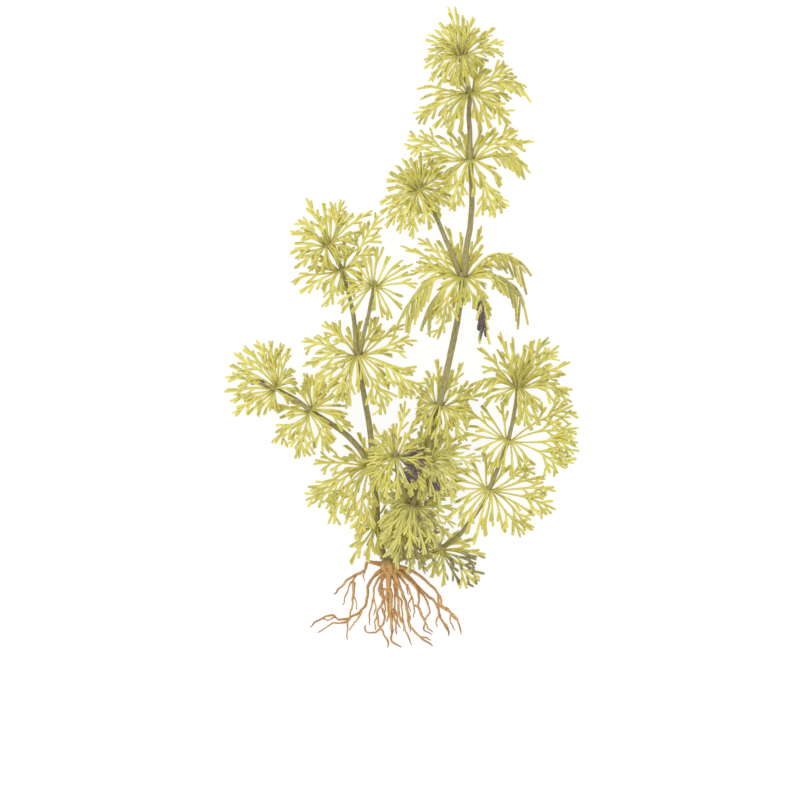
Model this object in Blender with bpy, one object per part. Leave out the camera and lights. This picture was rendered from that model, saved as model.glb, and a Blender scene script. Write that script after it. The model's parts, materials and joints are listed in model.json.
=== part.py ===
"""Bare-root ambulia: a stemmed water plant lying on a flat surface, roots towards -Y and top tuft towards +Y.

Lengths below are in millimetres. The origin is the middle of the plant's box, on the surface it lies on.
"""
import math
from collections import namedtuple

import bmesh
import bpy
from mathutils import Vector

MM = 0.001
GAP = 0.3

# Stem tubes
STEM_SIDES = 6
STEM_STEPS = 2
MAIN_RADIUS = 1.55
FORK_RADIUS = 1.4
BRANCH_RADIUS = 1.15
SMALL_FORK_RADIUS = 1.05
TWIG_RADIUS = 0.9
TIP_RADIUS = 0.85

# Root tubes
ROOT_SIDES = 5
ROOT_TIP_SHARE = 0.5

# Root crown, an uneven lump
CROWN_MIDDLE = Vector((-5.5, -106.8, 6.4))
CROWN_HALF = Vector((5.0, 4.5, 4.8))
CROWN_BUMP = 0.08
CROWN_WAVES = Vector((5.0, 4.0, 2.0))
CROWN_DETAIL = 2

# Leaf whorls
COLLAR_HALF_LENGTH = 0.7
COLLAR_WALL = 0.8
COLLAR_CLEAR = GAP + 0.1
WIDEST_FACET = math.radians(50)
WHORL_SLOPE = 0.5
LEAF_ARCH = 1.6
LAYER_STEP = 1.2
BEND_LIFT = 0.045
TIP_DROOP = 2.2
LEAF_BEND = 25.0
LEAF_FLOOR = 0.4
BLADE_SHARE = 0.19
BLADE_CLEARANCE = 0.30
BLADE_HALF_THICK = 0.35
SHORT_LEAF = 27.0
STRONG_BEND = 45.0
# Shares along a leaf where the blade has a section, and how wide the blade is there
SHORT_STATIONS = ((0.62, 1.0),)
LONG_STATIONS = ((0.45, 0.6), (0.8, 1.0))
BENT_STATIONS = ((0.33, 0.5), (0.62, 0.9), (0.86, 1.0))
SHARE_AHEAD = 0.05

SHARP_ANGLE = math.radians(50)
NEARLY_NOTHING = 1e-6

Surface = namedtuple("Surface", "colour roughness")

STEM_SURFACE = Surface((0.29, 0.25, 0.09), 0.6)
LEAF_SURFACE = Surface((0.56, 0.52, 0.10), 0.55)
TUFT_SURFACE = Surface((0.44, 0.40, 0.09), 0.55)
ROOT_SURFACE = Surface((0.55, 0.26, 0.08), 0.75)
CROWN_SURFACE = Surface((0.42, 0.23, 0.08), 0.8)

Stem = namedtuple("Stem", "route start_radius end_radius")
Whorl = namedtuple("Whorl", "stem place leaves")

# Each route runs from the root end to the tip. A whorl stands on one of its points.
STEMS = {
    "main_stem": Stem(
        ((-3.8, -101.2, 11.0), (0.7, -92.0, 14.0), (4.4, -79.4, 18.5), (7.9, -69.0, 18.6),
         (10.8, -60.0, 18.0), (13.2, -46.6, 17.0), (16.5, -34.8, 16.0), (20.5, -16.9, 15.5),
         (24.1, 0.2, 14.8), (26.3, 14.6, 14.2), (27.0, 22.8, 14.0), (27.1, 24.4, 14.0)),
        MAIN_RADIUS, FORK_RADIUS),
    "upper_stem": Stem(
        ((28.3, 25.9, 14.8), (28.7, 35.3, 14.0), (30.4, 45.2, 13.0), (31.3, 58.3, 12.0),
         (30.6, 75.8, 11.2), (30.4, 87.1, 10.6), (29.9, 97.4, 10.2), (30.4, 106.0, 10.2),
         (27.9, 114.5, 10.8), (26.6, 123.1, 11.8), (26.2, 127.5, 12.4)),
        FORK_RADIUS, TIP_RADIUS),
    "upper_branch": Stem(
        ((25.4, 26.4, 13.3), (23.6, 30.8, 13.2), (20.0, 38.9, 11.8), (15.5, 49.7, 9.4),
         (11.5, 56.5, 7.6), (7.4, 62.6, 6.2), (6.3, 64.8, 6.0)),
        BRANCH_RADIUS, TIP_RADIUS),
    "left_stem": Stem(
        ((-8.9, -101.4, 8.6), (-9.9, -95.2, 9.0), (-11.3, -89.3, 9.0), (-11.9, -77.2, 8.6),
         (-13.3, -68.2, 8.2), (-13.8, -62.2, 8.0), (-13.9, -60.7, 8.0)),
        MAIN_RADIUS, FORK_RADIUS),
    "left_middle_stem": Stem(
        ((-13.5, -59.3, 8.3), (-14.6, -45.7, 9.2), (-16.9, -32.2, 10.4), (-19.1, -19.6, 11.5),
         (-19.9, -12.3, 12.0), (-20.1, -10.7, 12.1)),
        FORK_RADIUS, SMALL_FORK_RADIUS),
    "left_top_stem": Stem(
        ((-20.9, -9.2, 12.3), (-21.8, 3.8, 12.9), (-24.1, 15.1, 13.0), (-27.2, 26.3, 13.0),
         (-30.2, 32.0, 13.2), (-33.5, 37.6, 13.5), (-34.7, 39.7, 13.6)),
        SMALL_FORK_RADIUS, TIP_RADIUS),
    "left_side_branch": Stem(
        ((-18.5, -9.0, 12.9), (-17.3, -2.0, 15.4), (-15.5, 4.7, 18.2), (-14.2, 11.0, 20.6),
         (-12.6, 18.7, 22.4), (-12.4, 20.6, 22.7)),
        TWIG_RADIUS, TIP_RADIUS),
    "far_left_branch": Stem(
        ((-16.9, -58.2, 8.4), (-19.9, -53.4, 8.8), (-25.9, -47.3, 9.6), (-33.1, -42.3, 10.4),
         (-41.2, -37.1, 11.0), (-47.5, -32.4, 11.4), (-52.9, -29.3, 11.8), (-56.9, -27.2, 12.0),
         (-58.8, -26.3, 12.1)),
        FORK_RADIUS, TIP_RADIUS),
    "right_stem": Stem(
        ((0.3, -103.6, 6.0), (8.0, -102.4, 6.6), (17.3, -99.2, 7.5), (25.0, -93.8, 9.6),
         (31.3, -85.7, 11.8), (36.7, -77.6, 13.5), (38.9, -72.5, 14.0), (43.0, -62.8, 13.6),
         (47.5, -50.4, 13.0), (50.2, -38.5, 13.5), (52.0, -26.6, 14.0), (52.3, -24.4, 14.1)),
        BRANCH_RADIUS, TIP_RADIUS),
    "middle_branch": Stem(
        ((2.2, -75.4, 20.9), (-0.4, -70.5, 23.2), (-2.2, -65.0, 25.6), (-2.9, -57.8, 28.0),
         (-2.9, -55.6, 28.5)),
        TWIG_RADIUS, TIP_RADIUS),
}

# A leaf is its bearing in degrees anticlockwise from +X, its reach, half the width of its fan of lobes, and
# its bend where that is its own.
WHORLS = {
    "top_tuft": Whorl("upper_stem", 9, (
        (105, 23.2, 1.4), (97, 22.6, 1.3), (88, 18.5, 0.9), (74, 18.5, 2.2), (57, 15, 1.4), (40, 19.5, 2.2),
        (19, 20, 2.4), (2, 18.5, 2.0), (-14, 11, 1.4), (-35, 8, 1.2), (-60, 10, 1.2), (-80, 14, 1.4),
        (-97, 15, 1.4), (-110, 14, 1.4), (-124, 18, 1.8), (-141, 18.4, 1.8), (-159, 17, 1.6),
        (-173, 16.5, 1.8), (169, 15, 1.4), (157, 17.2, 1.6), (146, 17.5, 1.3), (134, 16.5, 1.3),
        (124, 18, 1.6), (114, 15, 1.2))),
    "second_whorl": Whorl("upper_stem", 7, (
        (66, 15.5, 2.0), (47, 14, 1.3), (31, 22, 4.0), (4, 26.5, 2.6, -60), (-8, 18.4, 1.8, -30),
        (-17, 13.5, 1.3), (-31, 17.6, 1.5), (-42, 22.5, 3.2, -25), (-58, 18, 2.0), (-73, 17, 1.8),
        (-106, 17, 1.6), (-120, 20, 2.0), (-134, 22, 2.8), (-150, 26, 3.2, 30), (-162, 22, 1.3),
        (-173, 22, 1.4), (175, 23.5, 1.6, 25), (150, 13, 1.4), (125, 12, 1.3), (98, 11, 1.2))),
    "third_whorl": Whorl("upper_stem", 4, (
        (72, 16, 1.5), (54, 18, 1.8), (33, 25.6, 3.4), (17, 30, 3.8, -35), (8, 21, 1.4),
        (-9, 26.5, 4.4, -65), (-40, 17.6, 1.6, -35), (-66, 27, 4.6), (-85, 16, 1.5), (-112, 24.5, 3.4),
        (-131, 19, 2.4, 20), (-149, 13, 1.3), (-170, 17, 1.6), (176, 21, 2.0), (162, 29.5, 4.2, 25),
        (145, 19, 1.8), (125, 17, 1.6), (107, 14.5, 1.4))),
    "branch_tuft": Whorl("upper_branch", 5, (
        (176, 14, 1.3), (160, 15, 1.4), (146, 15, 1.4), (132, 15, 1.4), (118, 16, 1.4), (103, 15, 1.4),
        (88, 17, 1.4), (73, 17.5, 1.6), (57, 18, 1.6), (41, 16, 1.6), (25, 17, 1.6), (7, 15, 1.6),
        (-13, 14, 1.6), (-30, 17, 1.8), (-50, 15, 1.6), (-72, 18, 2.2), (-97, 22, 2.6), (-113, 21, 2.6),
        (-130, 22, 2.6), (-147, 20, 2.2), (-163, 18, 1.8))),
    "fork_whorl": Whorl("main_stem", 10, (
        (92, 20.5, 1.0), (70, 25, 1.8), (57, 17, 1.6), (26, 25, 1.3, -40), (3, 30.5, 5.4, -120),
        (-9, 22, 2.0, -70), (-31, 31.5, 4.2, -95), (-54, 21, 1.8, -40), (-70, 29.5, 4.4, -45),
        (-82, 11, 1.6), (-97, 16, 1.3), (-112, 29.5, 3.4, 25), (-127, 28, 3.6, 45), (-145, 33.5, 5.4, 70),
        (-172, 18, 1.4, 45), (172, 23, 3.0), (161, 21.5, 1.6), (152, 31, 1.8), (138, 26.5, 2.8, 20),
        (124, 20, 1.4), (108, 24.5, 1.6))),
    "left_tip_tuft": Whorl("left_top_stem", 5, (
        (115, 23.5, 2.4), (98, 19, 1.3), (85, 18, 1.3), (70, 21, 3.4), (52, 18, 1.5), (38, 25, 2.2),
        (22, 16, 1.3), (-15, 11, 1.3), (-60, 9, 1.3), (-98, 12, 1.4), (-122, 13, 1.6), (-143, 17, 1.8),
        (-157, 15.5, 1.5), (-171, 16.5, 1.6), (178, 14, 1.5), (159, 18, 1.6), (140, 17.5, 3.0))),
    "left_second_whorl": Whorl("left_top_stem", 3, (
        (86, 15, 1.1), (51, 30, 4.6), (36, 17.5, 2.4), (12, 10, 1.3), (-30, 10, 1.2), (-62, 12, 1.3),
        (-90, 10, 1.2), (-113, 17.6, 2.8), (-132, 12, 1.4), (-150, 21, 2.4), (-166, 23, 2.2, 25),
        (177, 15, 1.6), (150, 13, 1.4))),
    "side_tuft": Whorl("left_side_branch", 4, (
        (99, 14, 0.9), (86, 17.6, 2.2), (62, 15, 1.0), (43, 17, 1.0), (31, 19.5, 1.2), (19, 17, 1.4),
        (4, 19, 2.4, -20), (-22, 12, 1.0), (-40, 15.6, 1.3), (-62, 16, 1.4), (-75, 14, 1.2), (-89, 10, 0.9),
        (-129, 15, 1.2), (-140, 18.5, 1.0), (-154, 17.4, 1.2), (-167, 11, 1.0), (180, 11, 0.9),
        (167, 12.3, 1.2), (149, 13.5, 1.6), (130, 14.5, 1.4), (114, 15, 1.0))),
    "left_middle_whorl": Whorl("left_middle_stem", 4, (
        (88, 15, 1.3), (63, 19.5, 2.8), (34, 25, 2.4), (14, 27, 3.6), (-15, 25, 0.9, 10),
        (-30, 31, 4.6, -25), (-48, 20, 1.6), (-65, 28.5, 4.4), (-90, 16, 0.9), (-103, 24, 2.6),
        (-117, 23, 3.0), (-129, 21, 1.4), (-142, 25, 2.6), (-155, 20, 1.8), (-169, 25, 2.6), (177, 19, 1.8),
        (166, 26, 3.4), (134, 21.5, 3.2), (114, 13, 1.3))),
    "far_left_tuft": Whorl("far_left_branch", 7, (
        (113, 23.5, 2.8), (99, 21.5, 2.6), (85, 20.5, 2.2), (71, 19, 1.8), (49, 11, 1.6), (20, 9, 1.3),
        (-9, 8, 0.9), (-95, 9, 1.2), (-113, 11.5, 1.2), (-126, 14, 1.3), (-138, 17, 1.4), (-151, 22.4, 2.4),
        (-165, 21.4, 2.0), (-177, 23.5, 2.2), (168, 23.5, 2.6), (154, 23.5, 2.6), (140, 25, 2.8),
        (127, 24, 2.4))),
    "far_left_whorl": Whorl("far_left_branch", 4, (
        (98, 16.4, 2.2), (83, 16.3, 2.2), (67, 16, 1.6), (48, 18, 1.6), (26, 17, 1.5), (8, 15.5, 0.9),
        (-6, 16, 0.9), (-21, 20, 2.6, -30), (-50, 16.5, 1.6), (-66, 20, 3.2), (-86, 16.5, 1.6),
        (-104, 21.5, 3.4), (-122, 15, 1.6), (-137, 21.5, 3.6, 30), (-166, 13, 1.3), (178, 16.5, 2.4),
        (150, 12, 1.2), (124, 12.5, 1.6))),
    "left_fork_whorl": Whorl("left_stem", 5, (
        (144, 15.4, 1.4), (161, 13, 1.2), (178, 26, 3.6), (-169, 14, 1.1), (-159, 25.5, 2.2),
        (-148, 31.5, 4.8), (-137, 25, 1.8), (-127, 32, 3.4), (-115, 28, 1.8), (-103, 30, 4.4),
        (-88, 22, 1.8), (-70, 18, 1.8), (-46, 13, 1.6), (-12, 11, 1.4), (28, 12, 1.4), (62, 13, 1.4),
        (110, 15.5, 1.8))),
    "left_foot_whorl": Whorl("left_stem", 2, (
        (150, 10, 1.2), (178, 11, 1.2), (-156, 10, 1.2), (-141, 14, 1.6), (-124, 20, 2.0), (-108, 15, 1.8),
        (-88, 12, 1.6), (-58, 9, 1.4), (-8, 8, 1.3), (48, 8, 1.3), (104, 9, 1.3))),
    "front_whorl": Whorl("middle_branch", 3, (
        (97, 14, 1.1), (81, 25, 3.0), (61, 23, 1.4), (36, 14, 1.6), (14, 15, 1.8), (-6, 16, 2.0),
        (-26, 17, 2.0), (-46, 18, 2.2), (-66, 18, 2.2), (-86, 18, 2.2), (-106, 18, 2.2), (-128, 18, 2.2),
        (-150, 17, 2.0), (-172, 15, 1.8), (167, 13, 1.6), (146, 13.5, 1.6), (127, 17, 1.8),
        (111, 12, 1.2))),
    "main_middle_whorl": Whorl("main_stem", 6, (
        (108, 16, 1.6), (91, 20.7, 2.2), (61, 22, 2.2), (38, 16, 1.6), (13, 20, 2.4), (-4, 14, 1.4),
        (-20, 16, 1.6), (-37, 16, 1.6), (-55, 18.5, 2.4), (-75, 19, 2.0), (-95, 18, 1.8), (-115, 16, 1.6),
        (-140, 12, 1.4), (-165, 10, 1.3), (174, 9, 1.2), (156, 10, 1.4), (138, 11.5, 1.8))),
    "main_low_whorl": Whorl("main_stem", 4, (
        (98, 16, 1.6), (76, 17, 1.8), (56, 17, 1.8), (36, 18, 2.0), (20, 21, 2.4), (6, 25, 3.0),
        (-14, 20, 2.4), (-38, 21, 2.4), (-56, 22, 2.6), (-75, 21, 2.4), (-95, 19, 2.0), (-118, 15, 1.6),
        (162, 11, 1.3), (128, 13, 1.4))),
    "main_base_whorl": Whorl("main_stem", 2, (
        (100, 13, 1.5), (62, 16, 1.6), (36, 19, 2.0), (14, 20, 2.2), (-6, 20, 2.2), (-24, 21, 2.4),
        (-42, 22, 2.4), (-60, 22, 2.4), (-78, 22, 2.4), (-96, 23, 2.4), (-113, 21, 2.2), (-131, 20, 2.0),
        (-152, 17, 1.8), (175, 13, 1.5))),
    "main_foot_whorl": Whorl("main_stem", 1, (
        (75, 10, 1.3), (30, 13, 1.5), (0, 16, 1.8), (-22, 19, 2.2), (-42, 20, 2.4), (-62, 20, 2.2),
        (-82, 18, 2.0), (-103, 15, 1.6), (-128, 13, 1.4), (-158, 11, 1.3))),
    "right_tip_tuft": Whorl("right_stem", 10, (
        (118, 19, 1.4), (107, 26, 2.2), (95, 22.5, 1.4), (81, 19, 1.3), (70, 22.5, 2.0), (58, 26.5, 3.2),
        (45, 26.5, 3.0), (36, 18, 1.4), (26, 26, 2.4), (15, 22, 1.6), (4, 18.5, 1.5), (-9, 23, 3.6, -40),
        (-44, 14.5, 1.8), (-60, 19, 1.5), (-74, 19.5, 2.2), (-90, 16.5, 1.3), (-128, 8.5, 1.2),
        (-153, 16.5, 1.6), (-167, 16, 1.3), (180, 22.5, 2.6, 65), (167, 15, 1.2), (150, 18.5, 1.5, 45),
        (136, 25, 2.2))),
    "right_upper_whorl": Whorl("right_stem", 8, (
        (75, 12, 1.2), (28, 33.5, 5.0), (10, 32.5, 4.6), (-6, 31, 4.6), (-26, 28.5, 5.0, -20),
        (-45, 15, 1.6), (-64, 12.5, 1.2), (-82, 17, 1.0), (-102, 14, 1.4), (-119, 16, 1.5),
        (-139, 13, 1.3), (-162, 14, 1.3), (178, 22.5, 2.2), (161, 18.5, 1.5), (146, 26.5, 3.4),
        (128, 19, 1.4), (99, 17, 2.4))),
    "right_lower_whorl": Whorl("right_stem", 6, (
        (96, 16, 1.6), (75, 13, 1.2), (48, 14, 1.2), (24, 22.5, 3.6), (10, 25.6, 2.2), (-2, 30, 3.2),
        (-17, 31, 4.4), (-31, 23, 1.6), (-43, 26.5, 3.0), (-57, 25, 3.4), (-70, 20, 1.2), (-84, 16, 0.9),
        (-95, 20.5, 1.4), (-106, 25, 1.8), (-118, 22, 1.2), (-130, 21, 2.2), (-143, 24, 1.8),
        (-158, 15, 1.6), (-175, 20, 2.0), (166, 17, 1.6), (149, 18, 1.6), (124, 14, 1.4))),
    "right_foot_whorl": Whorl("right_stem", 2, (
        (40, 10, 1.3), (14, 13.5, 1.8), (-8, 20, 2.4), (-26, 17, 2.0), (-45, 23, 3.4), (-64, 18, 2.2),
        (-84, 16, 2.0), (-106, 13, 1.6), (-140, 12, 1.4), (150, 9, 1.2))),
}

Root = namedtuple("Root", "bearing rise radius route")

# A root leaves the crown on its bearing and rise, in degrees, and then follows its route.
ROOTS = {
    "root_1": Root(178, -8, 0.65, (
        (-15.5, -105.5, 4.0), (-17.2, -109.3, 2.0), (-24.1, -113.0, 0.7), (-28.1, -117.2, 0.6),
        (-31.3, -120.4, 0.4))),
    "root_3": Root(205, -15, 0.6, (
        (-12.6, -111.8, 2.4), (-15.5, -116.3, 0.8), (-16.0, -122.6, 0.6), (-18.4, -127.4, 0.6),
        (-24.1, -130.9, 0.5), (-28.6, -131.6, 0.5), (-32.6, -129.6, 0.5), (-38.9, -132.5, 0.4),
        (-42.1, -135.2, 0.4))),
    "root_4": Root(222, 18, 0.45, (
        (-12.4, -115.9, 3.4), (-13.3, -122.6, 0.6), (-15.1, -130.3, 0.5), (-14.6, -134.8, 0.4))),
    "root_5": Root(240, -18, 0.6, (
        (-10.1, -115.9, 1.0), (-10.1, -119.9, 0.7), (-8.6, -123.1, 0.6), (-11.3, -128.0, 0.6),
        (-10.6, -134.3, 0.6), (-8.8, -137.5, 0.5), (-6.8, -141.5, 0.4), (-6.3, -144.7, 0.4))),
    "root_6": Root(262, 6, 0.95, (
        (-6.3, -115.9, 2.6), (-5.2, -120.8, 0.9), (-5.5, -127.1, 0.8), (-4.9, -133.4, 0.7),
        (-4.8, -139.3, 0.6))),
    "root_7": Root(281, -26, 0.55, (
        (-2.9, -116.6, 1.0), (-2.0, -122.2, 0.6), (-1.4, -130.3, 0.5), (0.2, -133.4, 0.5),
        (2.5, -139.3, 0.4), (4.3, -143.3, 0.3))),
    "root_8": Root(295, 24, 0.65, (
        (-0.8, -117.7, 3.6), (1.6, -124.4, 0.7), (2.3, -129.4, 0.6), (3.2, -134.3, 0.6),
        (5.2, -136.6, 0.5), (8.3, -139.9, 0.5), (14.2, -143.8, 0.4))),
    "root_9": Root(307, -18, 0.45, (
        (2.3, -116.8, 0.8), (4.4, -122.2, 0.5), (5.3, -126.0, 0.4), (5.0, -131.2, 0.3))),
    "root_10": Root(321, 20, 0.55, (
        (4.1, -114.6, 4.4), (7.4, -119.9, 0.8), (7.2, -125.3, 0.5), (8.8, -129.8, 0.5),
        (10.1, -132.5, 0.5), (9.7, -136.2, 0.4), (13.3, -138.4, 0.4))),
    "root_11": Root(335, -16, 0.65, (
        (2.2, -111.6, 2.4), (6.2, -115.9, 0.8), (10.2, -119.9, 0.7), (15.3, -124.4, 0.6),
        (16.9, -130.3, 0.5), (20.3, -136.1, 0.5), (20.9, -139.0, 0.4))),
    "root_12": Root(352, 4, 0.6, (
        (4.6, -109.6, 4.2), (11.0, -114.5, 0.8), (16.4, -120.2, 0.6), (18.2, -125.6, 0.5),
        (20.9, -127.3, 0.5), (23.6, -130.2, 0.5), (25.2, -132.5, 0.5), (26.8, -138.8, 0.4))),
}

# The second root grows from the side of the first and crosses over the third.
SIDE_ROOT = "root_2"
SIDE_ROOT_RADIUS = 0.45
SIDE_ROOT_ROUTE = (
    (-21.9, -114.3, 0.6), (-22.3, -120.5, 0.5), (-22.9, -126.0, 1.4), (-24.2, -131.2, 2.3),
    (-25.0, -135.5, 1.1), (-25.0, -141.1, 0.4))


def remove_all_objects():
    for thing in list(bpy.data.objects):
        bpy.data.objects.remove(thing, do_unlink=True)


def new_material(name, surface):
    material = bpy.data.materials.new(name)
    material.use_nodes = True
    shader = material.node_tree.nodes["Principled BSDF"]
    shader.inputs["Base Color"].default_value = (*surface.colour, 1.0)
    shader.inputs["Roughness"].default_value = surface.roughness
    shader.inputs["Metallic"].default_value = 0.0
    return material


def finish_object(bm, name, surface):
    """Turns the faces out, scales millimetres to metres and links the object."""
    bmesh.ops.recalc_face_normals(bm, faces=bm.faces)
    bmesh.ops.scale(bm, vec=(MM, MM, MM), verts=bm.verts)
    mesh = bpy.data.meshes.new(name)
    bm.to_mesh(mesh)
    bm.free()
    mesh.shade_smooth()
    mesh.set_sharp_from_angle(angle=SHARP_ANGLE)
    mesh.materials.append(new_material(f"{name}_finish", surface))
    thing = bpy.data.objects.new(name, mesh)
    bpy.context.scene.collection.objects.link(thing)
    return thing


def spline_point(before, start, end, after, share):
    """A point on the smooth curve through start and end, share of the way along."""
    square = share * share
    cube = square * share
    return 0.5 * (
        2.0 * start
        + (end - before) * share
        + (2.0 * before - 5.0 * start + 4.0 * end - after) * square
        + (3.0 * start - before - 3.0 * end + after) * cube
    )


def smooth_route(route, steps):
    """The route as a smooth curve, with that many steps between one point and the next."""
    points = [Vector(point) for point in route]
    padded = [2.0 * points[0] - points[1], *points, 2.0 * points[-1] - points[-2]]
    curve = []
    for index in range(1, len(padded) - 2):
        for step in range(steps):
            curve.append(spline_point(*padded[index - 1:index + 3], step / steps))
    curve.append(points[-1])
    return curve


def directions(curve):
    """Unit direction of the curve at each of its points."""
    found = []
    for index in range(len(curve)):
        ahead = curve[min(index + 1, len(curve) - 1)]
        behind = curve[max(index - 1, 0)]
        found.append((ahead - behind).normalized())
    return found


def side_and_top(direction):
    """The level direction to the left of a direction, and the one square to both."""
    left = Vector((0.0, 0.0, 1.0)).cross(direction).normalized()
    top = direction.cross(left).normalized()
    return left, top


def tube(name, curve, radii, sides, surface):
    """A closed tube along a curve, with flat ends."""
    bm = bmesh.new()
    rings = []
    for point, direction, radius in zip(curve, directions(curve), radii):
        left, top = side_and_top(direction)
        ring = []
        for corner in range(sides):
            angle = math.tau * (corner + 0.5) / sides - math.pi / 2.0
            ring.append(bm.verts.new(point + radius * (math.cos(angle) * left + math.sin(angle) * top)))
        rings.append(ring)
    for near, far in zip(rings, rings[1:]):
        for corner in range(sides):
            after = (corner + 1) % sides
            bm.faces.new((near[corner], near[after], far[after], far[corner]))
    bm.faces.new(rings[0])
    bm.faces.new(rings[-1])
    return finish_object(bm, name, surface)


def tapered(start, end, count):
    return [start + (end - start) * index / (count - 1) for index in range(count)]


def stem(name):
    made = STEMS[name]
    curve = smooth_route(made.route, STEM_STEPS)
    radii = tapered(made.start_radius, made.end_radius, len(curve))
    return tube(name, curve, radii, STEM_SIDES, STEM_SURFACE)


def crown_socket(bearing, rise):
    """The point just off the crown's surface where a root leaves it."""
    around = math.radians(bearing)
    up = math.radians(rise)
    out = Vector((math.cos(around) * math.cos(up), math.sin(around) * math.cos(up), math.sin(up)))
    on_surface = CROWN_MIDDLE + CROWN_HALF * out * (1.0 + CROWN_BUMP)
    return on_surface + GAP * out


def crown():
    bm = bmesh.new()
    bmesh.ops.create_icosphere(bm, subdivisions=CROWN_DETAIL, radius=1.0)
    for vertex in bm.verts:
        out = vertex.co.normalized()
        wave = math.sin(CROWN_WAVES.x * out.x + CROWN_WAVES.z * out.z) * math.cos(CROWN_WAVES.y * out.y)
        bump = 1.0 + CROWN_BUMP * wave
        vertex.co = CROWN_MIDDLE + CROWN_HALF * out * bump
    return finish_object(bm, "root_crown", CROWN_SURFACE)


def root(name, route, radius):
    """A root that lies on the surface wherever its route is as low as its radius."""
    tip = radius * ROOT_TIP_SHARE
    radii = tapered(radius, tip, len(route))
    on_floor = [Vector((x, y, max(z, r))) for (x, y, z), r in zip(route, radii)]
    return tube(name, on_floor, radii, ROOT_SIDES, ROOT_SURFACE)


def whorl_frame(whorl):
    """Where a whorl stands, its stem's direction there, and the stem's radius there."""
    made = STEMS[whorl.stem]
    curve = smooth_route(made.route, STEM_STEPS)
    index = whorl.place * STEM_STEPS
    radii = tapered(made.start_radius, made.end_radius, len(curve))
    return curve[index], directions(curve)[index], radii[index]


def turned_from(heading, bearing):
    """A bearing counted from the heading, from -180 up to 180 degrees, in radians."""
    away = math.radians(bearing) - math.atan2(heading.y, heading.x)
    return math.atan2(math.sin(away), math.cos(away))


def facets(turns):
    """The collar's facets in order round the stem: start turn, end turn and leaf number or None."""
    order = sorted(range(len(turns)), key=lambda number: turns[number])
    found = []
    for place, number in enumerate(order):
        before = turns[order[place - 1]] - (math.tau if place == 0 else 0.0)
        after = turns[order[(place + 1) % len(order)]] + (math.tau if place == len(order) - 1 else 0.0)
        here = turns[number]
        half_before = min((here - before) / 2.0, WIDEST_FACET / 2.0)
        half_after = min((after - here) / 2.0, WIDEST_FACET / 2.0)
        found.append([here - half_before, here + half_after, number])
    filled = []
    for place, facet in enumerate(found):
        filled.append(facet)
        wrap = math.tau if place == len(found) - 1 else 0.0
        start, end = facet[1], found[(place + 1) % len(found)][0] + wrap
        blanks = math.ceil((end - start) / WIDEST_FACET - NEARLY_NOTHING)
        for blank in range(blanks):
            step = (end - start) / blanks
            filled.append([start + blank * step, start + (blank + 1) * step, None])
    return filled


def neighbour_gap(leaves, number):
    """The smaller angle between a leaf and the leaves beside it, in radians."""
    here = math.radians(leaves[number][0])
    others = [math.radians(leaf[0]) for place, leaf in enumerate(leaves) if place != number]
    return min(abs(math.atan2(math.sin(here - other), math.cos(here - other))) for other in others)


def leaf_bend(leaf):
    """Leaves on both sides hang towards the roots, unless a leaf has a bend of its own."""
    if len(leaf) > 3:
        return math.radians(leaf[3])
    return -math.radians(LEAF_BEND) * math.cos(math.radians(leaf[0]))


def leaf_midline(middle, heading, start, leaf, number):
    """A function from the share along a leaf to the point there, on the whorl's slope with a low arch."""
    bearing = math.radians(leaf[0])
    reach = leaf[1]
    bend = leaf_bend(leaf)
    tip = middle + reach * Vector((math.cos(bearing), math.sin(bearing), 0.0))
    chord = Vector((tip.x - start.x, tip.y - start.y, 0.0))
    across = Vector((-chord.y, chord.x, 0.0))
    bulge = -math.tan(bend / 4.0) / 2.0
    level = Vector((heading.x, heading.y, 0.0)).normalized()
    arch = LEAF_ARCH + LAYER_STEP * (number % 2) + BEND_LIFT * abs(math.degrees(bend))

    def point(share):
        hump = 4.0 * share * (1.0 - share)
        flat = Vector((start.x, start.y, 0.0)) + chord * share + across * bulge * hump
        slope = middle.z - WHORL_SLOPE * (flat - middle).dot(level)
        at_start = middle.z - WHORL_SLOPE * (Vector((start.x, start.y, 0.0)) - middle).dot(level)
        height = slope + (start.z - at_start) * (1.0 - share) ** 2
        height += arch * hump - TIP_DROOP * share ** 3
        flat.z = max(height, LEAF_FLOOR)
        return flat

    return point


def leaf_stations(leaf):
    if abs(math.degrees(leaf_bend(leaf))) > STRONG_BEND:
        return BENT_STATIONS
    return SHORT_STATIONS if leaf[1] < SHORT_LEAF else LONG_STATIONS


def matched_corners(corners, side, top):
    """Four corners in the order left, top, right, bottom as seen from the leaf's tip end."""
    middle = sum((corner.co for corner in corners), Vector()) / len(corners)
    angles = [math.atan2((c.co - middle).dot(top), (c.co - middle).dot(side)) for c in corners]
    order = sorted(range(len(corners)), key=lambda place: angles[place])
    ring = [corners[place] for place in order]
    ring_angles = [angles[place] for place in order]
    best = min(range(len(ring)), key=lambda turn: sum(
        1.0 - math.cos(ring_angles[(place + turn) % len(ring)] - place * math.pi / 2.0)
        for place in range(len(ring))))
    return ring[best:] + ring[:best]


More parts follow.
